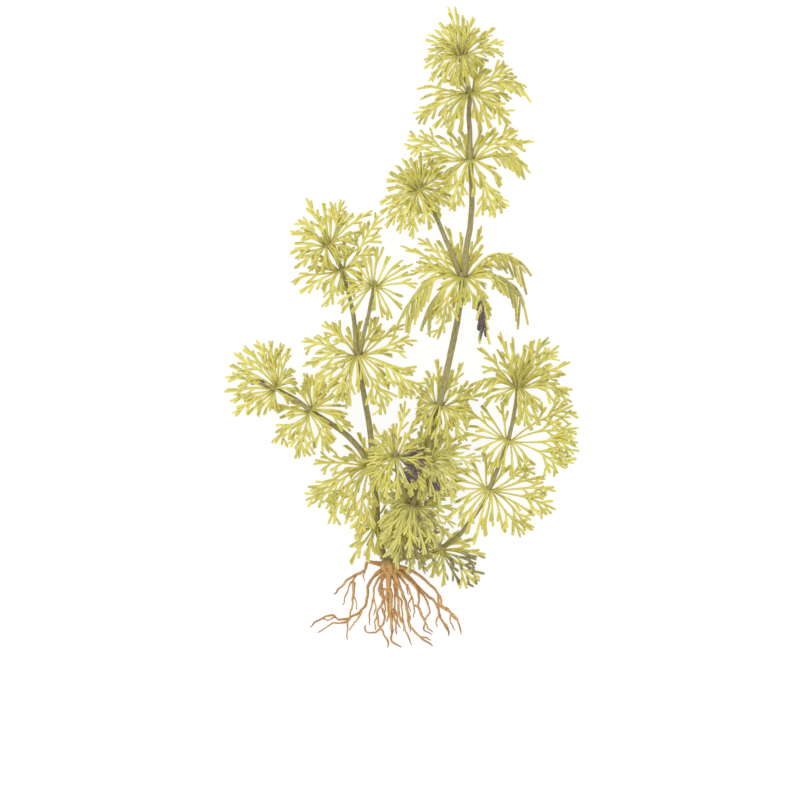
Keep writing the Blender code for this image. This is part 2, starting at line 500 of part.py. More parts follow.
def add_blade(bm, base, middle, heading, leaf, number, half_width):
    """A leaf blade of four-cornered sections, grown from a facet of the collar to a pointed tip."""
    start = sum((corner.co for corner in base), Vector()) / len(base)
    point = leaf_midline(middle, heading, start, leaf, number)
    slope_top = Vector((heading.x * WHORL_SLOPE, heading.y * WHORL_SLOPE, 1.0)).normalized()
    first = point(leaf_stations(leaf)[0][0]) - start
    side = slope_top.cross(first).normalized()
    ring = matched_corners(base, side, first.cross(side).normalized())
    for share, width in leaf_stations(leaf):
        here = point(share)
        along = point(share + SHARE_AHEAD) - point(share - SHARE_AHEAD)
        side = slope_top.cross(along).normalized()
        top = along.cross(side).normalized()
        reach = half_width * width
        offsets = (side * reach, top * BLADE_HALF_THICK, side * -reach, top * -BLADE_HALF_THICK)
        following = [bm.verts.new(here + offset) for offset in offsets]
        for corner in range(4):
            after = (corner + 1) % 4
            bm.faces.new((ring[corner], ring[after], following[after], following[corner]))
        ring = following
    tip = bm.verts.new(point(1.0))
    for corner in range(4):
        bm.faces.new((ring[corner], ring[(corner + 1) % 4], tip))


def blade_half_width(leaves, number):
    _, reach, fan = leaves[number][:3]
    return min(fan, BLADE_SHARE * reach, BLADE_CLEARANCE * reach * neighbour_gap(leaves, number))


def whorl_node(name):
    """A collar round the stem with a leaf blade on each of its facets."""
    whorl = WHORLS[name]
    middle, direction, stem_radius = whorl_frame(whorl)
    left, top = side_and_top(direction)
    turns = [turned_from(direction, leaf[0]) for leaf in whorl.leaves]
    inner = (stem_radius + COLLAR_CLEAR) / math.cos(WIDEST_FACET / 2.0)
    outer = inner + COLLAR_WALL
    bm = bmesh.new()
    ring = []
    sections = facets(turns)
    for start, _, _ in sections:
        out = math.sin(start) * left - math.cos(start) * top
        ring.append([
            bm.verts.new(middle + radius * out + along * COLLAR_HALF_LENGTH * direction)
            for radius, along in ((inner, 1), (outer, 1), (outer, -1), (inner, -1))])
    for place, (_, _, number) in enumerate(sections):
        here, after = ring[place], ring[(place + 1) % len(ring)]
        for edge in (0, 2, 3):
            other = (edge + 1) % 4
            bm.faces.new((here[edge], here[other], after[other], after[edge]))
        base = [here[1], after[1], after[2], here[2]]
        if number is None:
            bm.faces.new(base)
        else:
            half_width = blade_half_width(whorl.leaves, number)
            add_blade(bm, base, middle, direction, whorl.leaves[number], number, half_width)
    return finish_object(bm, name, TUFT_SURFACE if name.endswith("tuft") else LEAF_SURFACE)


def build():
    remove_all_objects()
    crown()
    for name in STEMS:
        stem(name)
    for name in WHORLS:
        whorl_node(name)
    for name, made in ROOTS.items():
        socket = crown_socket(made.bearing, made.rise)
        root(name, (tuple(socket), *made.route), made.radius)
    root(SIDE_ROOT, SIDE_ROOT_ROUTE, SIDE_ROOT_RADIUS)


build()
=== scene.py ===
"""Bare-root ambulia lying on a pale surface, seen from straight above.

Lengths are in millimetres in the part's own frame. Each mesh is scaled to metres when it is finished.
"""

import json
import random
from collections import namedtuple
from math import atan2, copysign, cos, degrees, exp, hypot, pi, radians, sin, sqrt, tan, tau

import bmesh
import bpy
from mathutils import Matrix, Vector
from mathutils.noise import noise as noise_at

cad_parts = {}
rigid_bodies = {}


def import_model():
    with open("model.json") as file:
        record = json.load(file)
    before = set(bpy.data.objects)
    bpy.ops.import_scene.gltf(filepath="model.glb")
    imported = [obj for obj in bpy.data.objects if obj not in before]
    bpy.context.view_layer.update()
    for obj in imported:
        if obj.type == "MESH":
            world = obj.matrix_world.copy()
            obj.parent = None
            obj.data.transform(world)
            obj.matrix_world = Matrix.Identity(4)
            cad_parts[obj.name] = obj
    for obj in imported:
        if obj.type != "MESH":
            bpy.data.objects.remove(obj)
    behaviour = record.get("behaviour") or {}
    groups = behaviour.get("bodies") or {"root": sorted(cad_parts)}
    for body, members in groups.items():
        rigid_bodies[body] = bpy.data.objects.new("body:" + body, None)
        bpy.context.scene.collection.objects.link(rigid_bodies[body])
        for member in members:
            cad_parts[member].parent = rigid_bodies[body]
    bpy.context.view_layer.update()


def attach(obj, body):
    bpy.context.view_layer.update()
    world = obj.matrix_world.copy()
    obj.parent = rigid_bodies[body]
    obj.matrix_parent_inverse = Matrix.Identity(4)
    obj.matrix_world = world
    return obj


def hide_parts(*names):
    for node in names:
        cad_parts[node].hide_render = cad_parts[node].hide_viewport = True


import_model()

MM = 0.001
UP = Vector((0.0, 0.0, 1.0))
PLANT_BODY = "root"

# Camera, and then the floor and the light in metres and watts
PICTURE_MIDDLE = Vector((-1.1, -32.2, 14.0))
PICTURE_WIDTH = 360.0
LENS_MM = 200.0
SENSOR_MM = 36.0
FLOOR_HALF = 4.0
FLOOR_GLOW = 0.84
LIGHT_PLACE = Vector((-0.7, 0.9, 1.6))
LIGHT_WIDTH = 1.2
LIGHT_POWER = 8.0

# Leaves. Their glow is light that passes into them, with its depth in metres.
WHORL_SLOPE = 0.5
LEAF_ARCH = 1.6
LAYER_STEP = 1.2
BEND_LIFT = 0.045
TIP_DROOP = 2.2
LEAF_BEND = 25.0
LEAF_REST = 0.5
LEAF_SWAY = 0.035
LEAF_ROOT = 0.4
LEAF_ROOT_WIDTH = 0.9
LEAF_START_CLEAR = 1.1
LEVEL_HANG = 0.1
BEND_TO_HANG = 45.0
MOST_HANG = 0.62
GLOW_WEIGHT = 0.4
GLOW_COLOUR = (1.0, 0.9, 0.5)
GLOW_DEPTH = 0.002

# Strongly bent leaves, whose lobes hang like the teeth of a comb, and one in four on the other side
COMB_BEND = 44.0
COMB_FAN = 2.8
COMB_STEP = 1.2
COMB_BULGE = 1.2
COMB_END = 0.95
COMB_RIB = 0.66
COMB_FIRST = 0.26
COMB_TURN = 4
COMB_REACH = (0.4, 0.65)
COMB_BACK_REACH = 0.3
COMB_RUN = (0.16, 0.27)

# The sides of a section that children grow on, and how far ahead and behind a direction is measured
LEFT = 3
RIGHT = 1
AHEAD = 0.03

# Lobes, their fingers and the short inner leaves. A pair is the range of a random draw.
KNEE_DROP = 0.3
KNEE_ALONG = (0.3, 0.55)
KNEE_OUT = (0.5, 0.7)
LOBE_BASE = 1.0
LOBE_EDGE = 0.8
LOBE_NECK = 0.16
LOBE_LAST_JOINT = 0.9
LEAF_LAST_JOINT = 0.88
LOBE_THICK = 0.24
LOBE_ROOM = (0.3, 0.7)
LOBE_REACH = (0.8, 1.12)
LOBE_HUMP = (-0.4, 0.7)
LOBE_CURL = (-0.9, 0.2)
LOBE_ROLL = (-0.35, 0.35)
LOBE_SIZE = (0.9, 1.12)
RIB_THICK = 0.32
SHORTEST_LOBE = 4.2
LOBE_ANGLE = (21.0, 42.0)
LEAF_END = 1.0
FURTHEST_END = 1.04
STALK_PART = 0.5
FAN_SPREAD = 1.25
FAN_TAPER = 0.5
INNER_SHORTEST = 8.0
INNER_LONGEST = 18.0
INNER_SHARE = 0.94
INNER_FAN = 1.7
FINGER_SIZE = 0.95
SHORTEST_FORKED = 5.5
MOST_FINGERS = 4
FINGER_FILL = 0.7
FINGERS_FROM = 0.26
FINGERS_RUN = 0.54
FINGER_ROOM = (0.2, 0.8)
FINGER_REACH = (0.8, 1.3)
BLUNT_END = 0.9

# Buds: part of the length and share of the width of each section
BUD_SECTIONS = ((0.0, 0.6), (0.3, 0.9), (0.8, 1.0), (1.0, 0.8))
BUD_HALF_WIDTH = 0.6
BUD_THICK = 0.28
BUD_JITTER = 0.3
BUD_OUT = (0.3, 0.9)
BUD_ABOVE = 0.6
LEAST_SPREAD = 0.2
BUD_LEAN = 0.6
BUD_AGE = 0.4

# Stems
STEM_SIDES = 12
STEM_STEPS = 6
STEM_ROOT_RUN = 2.6
STEM_TIP_RUN = 0.8
STEM_TIP_SHARE = 0.8
STEM_RIDGE = 0.035
STEM_WAVER = 0.04
STREAK_STRETCH = 0.03
MAIN_RADIUS = 1.55
FORK_RADIUS = 1.4
BRANCH_RADIUS = 1.15
SMALL_FORK_RADIUS = 1.05
TWIG_RADIUS = 0.9
TIP_RADIUS = 0.85
NODE_SWELL = 0.3
NODE_LENGTH = 1.7

# Roots and crown
ROOT_SIDES = 6
ROOT_STEPS = 5
ROOT_RUN_IN = 1.6
ROOT_TIP_SHARE = 0.5
ROOTLET_TIP_SHARE = 0.55
ROOT_KINK = 0.2
ROOT_KNOT = 0.14
ROOT_OVAL = 0.1
ROOT_END = 9.0
ROOT_POINT = 0.45
ROOT_FULLNESS = 1.5
ROOT_FLARE = 0.5
FLARE_LENGTH = 9.0
CROWN_MIDDLE = Vector((-5.5, -106.8, 6.4))
CROWN_HALF = Vector((4.5, 4.3, 4.6))
CROWN_DETAIL = 5
CROWN_BUMP = 0.06
CROWN_RIDGES = 9.0
CROWN_RIDGE = 0.05
CROWN_LUMP = 0.06
CROWN_LUMP_SIZE = 3.1
CROWN_GREEN_FROM = -0.1
CROWN_GREEN_RUN = 0.7

Stem = namedtuple("Stem", "route start_radius end_radius")
Whorl = namedtuple("Whorl", "stem place style leaves")
Style = namedtuple("Style", "lobe_step fan_gap first_lobe last_lobe rib base tip finger_gap inner")
Bud = namedtuple("Bud", "count shortest longest below spread")

FEATHER = Style(2, 1.7, 0.34, 0.82, 0.5, 0.54, 0.74, 2.6, 9)
AIRY = Style(2.4, 1.9, 0.42, 0.86, 0.48, 0.54, 0.74, 2.6, 0)
SPRAY = Style(1.8, 1.5, 0.34, 0.82, 0.5, 0.55, 0.75, 2.6, 7)
TUFT = Style(1.7, 1.4, 0.32, 0.8, 0.46, 0.5, 0.68, 2.4, 18)
SPOKE = Style(3, 3, 0.5, 0.8, 0.46, 0.5, 0.72, 9, 0)
DENSE = Style(1.6, 1.4, 0.26, 0.84, 0.46, 0.44, 0.58, 2, 42)
OPEN = Style(1.6, 1.4, 0.3, 0.84, 0.46, 0.48, 0.64, 2.2, 17)
BAND = Style(1.8, 1.2, 0.3, 0.84, 0.48, 0.54, 0.72, 2.6, 12)

BUDS = {
    "top_tuft": Bud(24, 4, 11, 8, 0.45),
    "branch_tuft": Bud(20, 4, 10, 4, 0.5),
    "left_tip_tuft": Bud(14, 3, 9, 2, 0.5),
    "side_tuft": Bud(7, 1.4, 2.6, 0.4, 0.8),
    "far_left_tuft": Bud(7, 2, 5, 0.6, 0.6),
    "right_tip_tuft": Bud(22, 5, 15, 2, 0.45),
}

# Each route runs from the root end to the tip. A whorl stands on one of its points.
STEMS = {
    "main_stem": Stem(
        ((-3.8, -101.2, 11), (0.7, -92, 14), (4.4, -79.4, 18.5), (7.9, -69, 18.6),
         (10.8, -60, 18), (13.2, -46.6, 17), (16.5, -34.8, 16), (20.5, -16.9, 15.5),
         (24.1, 0.2, 14.8), (26.3, 14.6, 14.2), (27, 22.8, 14), (27.1, 24.4, 14)),
        MAIN_RADIUS, FORK_RADIUS),
    "upper_stem": Stem(
        ((28.3, 25.9, 14.8), (28.7, 35.3, 14), (30.4, 45.2, 13), (31.3, 58.3, 12),
         (30.6, 75.8, 11.2), (30.4, 87.1, 10.6), (29.9, 97.4, 10.2), (30.4, 106, 10.2),
         (27.9, 114.5, 10.8), (26.6, 123.1, 11.8), (26.2, 127.5, 12.4)),
        FORK_RADIUS, TIP_RADIUS),
    "upper_branch": Stem(
        ((25.4, 26.4, 13.3), (23.6, 30.8, 13.2), (20, 38.9, 11.8), (15.5, 49.7, 9.4),
         (11.5, 56.5, 7.6), (7.4, 62.6, 6.2), (6.3, 64.8, 6)),
        BRANCH_RADIUS, TIP_RADIUS),
    "left_stem": Stem(
        ((-8.9, -101.4, 8.6), (-9.9, -95.2, 9), (-11.3, -89.3, 9), (-11.9, -77.2, 8.6),
         (-13.3, -68.2, 8.2), (-13.8, -62.2, 8), (-13.9, -60.7, 8)),
        MAIN_RADIUS, FORK_RADIUS),
    "left_middle_stem": Stem(
        ((-13.5, -59.3, 8.3), (-14.6, -45.7, 9.2), (-16.9, -32.2, 10.4), (-19.1, -19.6, 11.5),
         (-19.9, -12.3, 12), (-20.1, -10.7, 12.1)),
        FORK_RADIUS, SMALL_FORK_RADIUS),
    "left_top_stem": Stem(
        ((-20.9, -9.2, 12.3), (-21.8, 3.8, 12.9), (-24.1, 15.1, 13), (-27.2, 26.3, 13),
         (-30.2, 32, 13.2), (-33.5, 37.6, 13.5), (-34.7, 39.7, 13.6)),
        SMALL_FORK_RADIUS, TIP_RADIUS),
    "left_side_branch": Stem(
        ((-18.5, -9, 12.9), (-17.3, -2, 15.4), (-15.5, 4.7, 18.2), (-14.2, 11, 20.6),
         (-12.6, 18.7, 22.4), (-12.4, 20.6, 22.7)),
        TWIG_RADIUS, TIP_RADIUS),
    "far_left_branch": Stem(
        ((-16.9, -58.2, 8.4), (-19.9, -53.4, 8.8), (-25.9, -47.3, 9.6), (-33.1, -42.3, 10.4),
         (-41.2, -37.1, 11), (-47.5, -32.4, 11.4), (-52.9, -29.3, 11.8), (-56.9, -27.2, 12),
         (-58.8, -26.3, 12.1)),
        FORK_RADIUS, TIP_RADIUS),
    "right_stem": Stem(
        ((0.3, -103.6, 6), (8, -102.4, 6.6), (17.3, -99.2, 7.5), (25, -93.8, 9.6),
         (31.3, -85.7, 11.8), (36.7, -77.6, 13.5), (38.9, -72.5, 14), (43, -62.8, 13.6),
         (47.5, -50.4, 13), (50.2, -38.5, 13.5), (52, -26.6, 14), (52.3, -24.4, 14.1)),
        BRANCH_RADIUS, TIP_RADIUS),
    "middle_branch": Stem(
        ((2.2, -75.4, 20.9), (-0.4, -70.5, 23.2), (-2.2, -65, 25.6), (-2.9, -57.8, 28),
         (-2.9, -55.6, 28.5)),
        TWIG_RADIUS, TIP_RADIUS),
}

# A leaf is its bearing in degrees anticlockwise from +X, its reach, half the width of its fan of lobes, and
# its bend where that is its own.
WHORLS = {
    "top_tuft": Whorl("upper_stem", 9, TUFT, (
        (105, 23.2, 1.4), (97, 22.6, 1.3), (88, 18.5, 0.9), (74, 18.5, 2.2), (57, 15, 1.4), (40, 19.5, 2.2),
        (19, 20, 2.4), (2, 18.5, 2), (-14, 11, 1.4), (-35, 8, 1.2), (-60, 10, 1.2), (-80, 14, 1.4),
        (-97, 15, 1.4), (-110, 14, 1.4), (-124, 18, 1.8), (-141, 18.4, 1.8), (-159, 17, 1.6),
        (-173, 16.5, 1.8), (169, 15, 1.4), (157, 17.2, 1.6), (146, 17.5, 1.3), (134, 16.5, 1.3),
        (124, 18, 1.6), (114, 15, 1.2))),
    "second_whorl": Whorl("upper_stem", 7, FEATHER, (
        (66, 15.5, 2), (47, 14, 1.3), (31, 22, 4), (4, 26.5, 2.6, -60), (-8, 18.4, 1.8, -30),
        (-17, 13.5, 1.3), (-31, 17.6, 1.5), (-42, 22.5, 3.2, -25), (-58, 18, 2), (-73, 17, 1.8),
        (-106, 17, 1.6), (-120, 20, 2), (-134, 22, 2.8), (-150, 26, 3.2, 30), (-162, 22, 1.3),
        (-173, 22, 1.4), (175, 23.5, 1.6, 25), (150, 13, 1.4), (125, 12, 1.3), (98, 11, 1.2))),
    "third_whorl": Whorl("upper_stem", 4, FEATHER, (
        (72, 16, 1.5), (54, 18, 1.8), (33, 25.6, 3.4), (17, 30, 3.8, -35), (8, 21, 1.4),
        (-9, 26.5, 4.4, -65), (-40, 17.6, 1.6, -35), (-66, 27, 4.6), (-85, 16, 1.5), (-112, 24.5, 3.4),
        (-131, 19, 2.4, 20), (-149, 13, 1.3), (-170, 17, 1.6), (176, 21, 2), (162, 29.5, 4.2, 25),
        (145, 19, 1.8), (125, 17, 1.6), (107, 14.5, 1.4))),
    "branch_tuft": Whorl("upper_branch", 5, TUFT, (
        (176, 14, 1.3), (160, 15, 1.4), (146, 15, 1.4), (132, 15, 1.4), (118, 16, 1.4), (103, 15, 1.4),
        (88, 17, 1.4), (73, 17.5, 1.6), (57, 18, 1.6), (41, 16, 1.6), (25, 17, 1.6), (7, 15, 1.6),
        (-13, 14, 1.6), (-30, 17, 1.8), (-50, 15, 1.6), (-72, 18, 2.2), (-97, 22, 2.6), (-113, 21, 2.6),
        (-130, 22, 2.6), (-147, 20, 2.2), (-163, 18, 1.8))),
    "fork_whorl": Whorl("main_stem", 10, BAND, (
        (92, 20.5, 1), (70, 25, 1.8), (57, 17, 1.6), (26, 25, 1.3, -40), (3, 30.5, 5.4, -120),
        (-9, 22, 2, -70), (-31, 31.5, 4.2, -95), (-54, 21, 1.8, -40), (-70, 29.5, 4.4, -45),
        (-82, 11, 1.6), (-97, 16, 1.3), (-112, 29.5, 3.4, 25), (-127, 28, 3.6, 45), (-145, 33.5, 5.4, 70),
        (-172, 18, 1.4, 45), (172, 23, 3), (161, 21.5, 1.6), (152, 31, 1.8), (138, 26.5, 2.8, 20),
        (124, 20, 1.4), (108, 24.5, 1.6))),
    "left_tip_tuft": Whorl("left_top_stem", 5, SPRAY, (
        (115, 23.5, 2.4), (98, 19, 1.3), (85, 18, 1.3), (70, 21, 3.4), (52, 18, 1.5), (38, 25, 2.2),
        (22, 16, 1.3), (-15, 11, 1.3), (-60, 9, 1.3), (-98, 12, 1.4), (-122, 13, 1.6), (-143, 17, 1.8),
        (-157, 15.5, 1.5), (-171, 16.5, 1.6), (178, 14, 1.5), (159, 18, 1.6), (140, 17.5, 3))),
    "left_second_whorl": Whorl("left_top_stem", 3, FEATHER, (
        (86, 15, 1.1), (51, 30, 4.6), (36, 17.5, 2.4), (12, 10, 1.3), (-30, 10, 1.2), (-62, 12, 1.3),
        (-90, 10, 1.2), (-113, 17.6, 2.8), (-132, 12, 1.4), (-150, 21, 2.4), (-166, 23, 2.2, 25),
        (177, 15, 1.6), (150, 13, 1.4))),
    "side_tuft": Whorl("left_side_branch", 4, SPOKE, (
        (99, 14, 0.9), (86, 17.6, 2.2), (62, 15, 1), (43, 17, 1), (31, 19.5, 1.2), (19, 17, 1.4),
        (4, 19, 2.4, -20), (-22, 12, 1), (-40, 15.6, 1.3), (-62, 16, 1.4), (-75, 14, 1.2), (-89, 10, 0.9),
        (-129, 15, 1.2), (-140, 18.5, 1), (-154, 17.4, 1.2), (-167, 11, 1), (180, 11, 0.9),
        (167, 12.3, 1.2), (149, 13.5, 1.6), (130, 14.5, 1.4), (114, 15, 1))),
    "left_middle_whorl": Whorl("left_middle_stem", 4, FEATHER, (
        (88, 15, 1.3), (63, 19.5, 2.8), (34, 25, 2.4), (14, 27, 3.6), (-15, 25, 0.9, 10),
        (-30, 31, 4.6, -25), (-48, 20, 1.6), (-65, 28.5, 4.4), (-90, 16, 0.9), (-103, 24, 2.6),
        (-117, 23, 3), (-129, 21, 1.4), (-142, 25, 2.6), (-155, 20, 1.8), (-169, 25, 2.6), (177, 19, 1.8),
        (166, 26, 3.4), (134, 21.5, 3.2), (114, 13, 1.3))),
    "far_left_tuft": Whorl("far_left_branch", 7, SPRAY, (
        (113, 23.5, 2.8), (99, 21.5, 2.6), (85, 20.5, 2.2), (71, 19, 1.8), (49, 11, 1.6), (20, 9, 1.3),
        (-9, 8, 0.9), (-95, 9, 1.2), (-113, 11.5, 1.2), (-126, 14, 1.3), (-138, 17, 1.4), (-151, 22.4, 2.4),
        (-165, 21.4, 2), (-177, 23.5, 2.2), (168, 23.5, 2.6), (154, 23.5, 2.6), (140, 25, 2.8),
        (127, 24, 2.4))),
    "far_left_whorl": Whorl("far_left_branch", 4, FEATHER, (
        (98, 16.4, 2.2), (83, 16.3, 2.2), (67, 16, 1.6), (48, 18, 1.6), (26, 17, 1.5), (8, 15.5, 0.9),
        (-6, 16, 0.9), (-21, 20, 2.6, -30), (-50, 16.5, 1.6), (-66, 20, 3.2), (-86, 16.5, 1.6),
        (-104, 21.5, 3.4), (-122, 15, 1.6), (-137, 21.5, 3.6, 30), (-166, 13, 1.3), (178, 16.5, 2.4),
        (150, 12, 1.2), (124, 12.5, 1.6))),
    "left_fork_whorl": Whorl("left_stem", 5, FEATHER, (
        (144, 15.4, 1.4), (161, 13, 1.2), (178, 26, 3.6), (-169, 14, 1.1), (-159, 25.5, 2.2),
        (-148, 31.5, 4.8), (-137, 25, 1.8), (-127, 32, 3.4), (-115, 28, 1.8), (-103, 30, 4.4),
        (-88, 22, 1.8), (-70, 18, 1.8), (-46, 13, 1.6), (-12, 11, 1.4), (28, 12, 1.4), (62, 13, 1.4),
        (110, 15.5, 1.8))),
    "left_foot_whorl": Whorl("left_stem", 2, SPRAY, (
        (150, 10, 1.2), (178, 11, 1.2), (-156, 10, 1.2), (-141, 14, 1.6), (-124, 20, 2), (-108, 15, 1.8),
        (-88, 12, 1.6), (-58, 9, 1.4), (-8, 8, 1.3), (48, 8, 1.3), (104, 9, 1.3))),
    "front_whorl": Whorl("middle_branch", 3, OPEN, (
        (97, 14, 1.1), (81, 25, 3), (61, 23, 1.4), (36, 14, 1.6), (14, 15, 1.8), (-6, 16, 2),
        (-26, 17, 2), (-46, 18, 2.2), (-66, 18, 2.2), (-86, 18, 2.2), (-106, 18, 2.2), (-128, 18, 2.2),
        (-150, 17, 2), (-172, 15, 1.8), (167, 13, 1.6), (146, 13.5, 1.6), (127, 17, 1.8),
        (111, 12, 1.2))),
    "main_middle_whorl": Whorl("main_stem", 6, OPEN, (
        (108, 16, 1.6), (91, 20.7, 2.2), (61, 22, 2.2), (38, 16, 1.6), (13, 20, 2.4), (-4, 14, 1.4),
        (-20, 16, 1.6), (-37, 16, 1.6), (-55, 18.5, 2.4), (-75, 19, 2), (-95, 18, 1.8), (-115, 16, 1.6),
        (-140, 12, 1.4), (-165, 10, 1.3), (174, 9, 1.2), (156, 10, 1.4), (138, 11.5, 1.8))),
    "main_low_whorl": Whorl("main_stem", 4, DENSE, (
        (98, 16, 1.6), (76, 17, 1.8), (56, 17, 1.8), (36, 18, 2), (20, 21, 2.4), (6, 25, 3),
        (-14, 20, 2.4), (-38, 21, 2.4), (-56, 22, 2.6), (-75, 21, 2.4), (-95, 19, 2), (-118, 15, 1.6),
        (162, 11, 1.3), (128, 13, 1.4))),
    "main_base_whorl": Whorl("main_stem", 2, DENSE, (
        (100, 13, 1.5), (62, 16, 1.6), (36, 19, 2), (14, 20, 2.2), (-6, 20, 2.2), (-24, 21, 2.4),
        (-42, 22, 2.4), (-60, 22, 2.4), (-78, 22, 2.4), (-96, 23, 2.4), (-113, 21, 2.2), (-131, 20, 2),
        (-152, 17, 1.8), (175, 13, 1.5))),
    "main_foot_whorl": Whorl("main_stem", 1, DENSE, (
        (75, 10, 1.3), (30, 13, 1.5), (0, 16, 1.8), (-22, 19, 2.2), (-42, 20, 2.4), (-62, 20, 2.2),
        (-82, 18, 2), (-103, 15, 1.6), (-128, 13, 1.4), (-158, 11, 1.3))),
    "right_tip_tuft": Whorl("right_stem", 10, SPRAY, (
        (118, 19, 1.4), (107, 26, 2.2), (95, 22.5, 1.4), (81, 19, 1.3), (70, 22.5, 2), (58, 26.5, 3.2),
        (45, 26.5, 3), (36, 18, 1.4), (26, 26, 2.4), (15, 22, 1.6), (4, 18.5, 1.5), (-9, 23, 3.6, -40),
        (-44, 14.5, 1.8), (-60, 19, 1.5), (-74, 19.5, 2.2), (-90, 16.5, 1.3), (-128, 8.5, 1.2),
        (-153, 16.5, 1.6), (-167, 16, 1.3), (180, 22.5, 2.6, 65), (167, 15, 1.2), (150, 18.5, 1.5, 45),
        (136, 25, 2.2))),
    "right_upper_whorl": Whorl("right_stem", 8, AIRY, (
        (75, 12, 1.2), (28, 33.5, 5), (10, 32.5, 4.6), (-6, 31, 4.6), (-26, 28.5, 5, -20),
        (-45, 15, 1.6), (-64, 12.5, 1.2), (-82, 17, 1), (-102, 14, 1.4), (-119, 16, 1.5),
        (-139, 13, 1.3), (-162, 14, 1.3), (178, 22.5, 2.2), (161, 18.5, 1.5), (146, 26.5, 3.4),
        (128, 19, 1.4), (99, 17, 2.4))),
    "right_lower_whorl": Whorl("right_stem", 6, AIRY, (
        (96, 16, 1.6), (75, 13, 1.2), (48, 14, 1.2), (24, 22.5, 3.6), (10, 25.6, 2.2), (-2, 30, 3.2),
        (-17, 31, 4.4), (-31, 23, 1.6), (-43, 26.5, 3), (-57, 25, 3.4), (-70, 20, 1.2), (-84, 16, 0.9),
        (-95, 20.5, 1.4), (-106, 25, 1.8), (-118, 22, 1.2), (-130, 21, 2.2), (-143, 24, 1.8),
        (-158, 15, 1.6), (-175, 20, 2), (166, 17, 1.6), (149, 18, 1.6), (124, 14, 1.4))),
    "right_foot_whorl": Whorl("right_stem", 2, FEATHER, (
        (40, 10, 1.3), (14, 13.5, 1.8), (-8, 20, 2.4), (-26, 17, 2), (-45, 23, 3.4), (-64, 18, 2.2),
        (-84, 16, 2), (-106, 13, 1.6), (-140, 12, 1.4), (150, 9, 1.2))),
}

Root = namedtuple("Root", "bearing rise radius route rootlets")

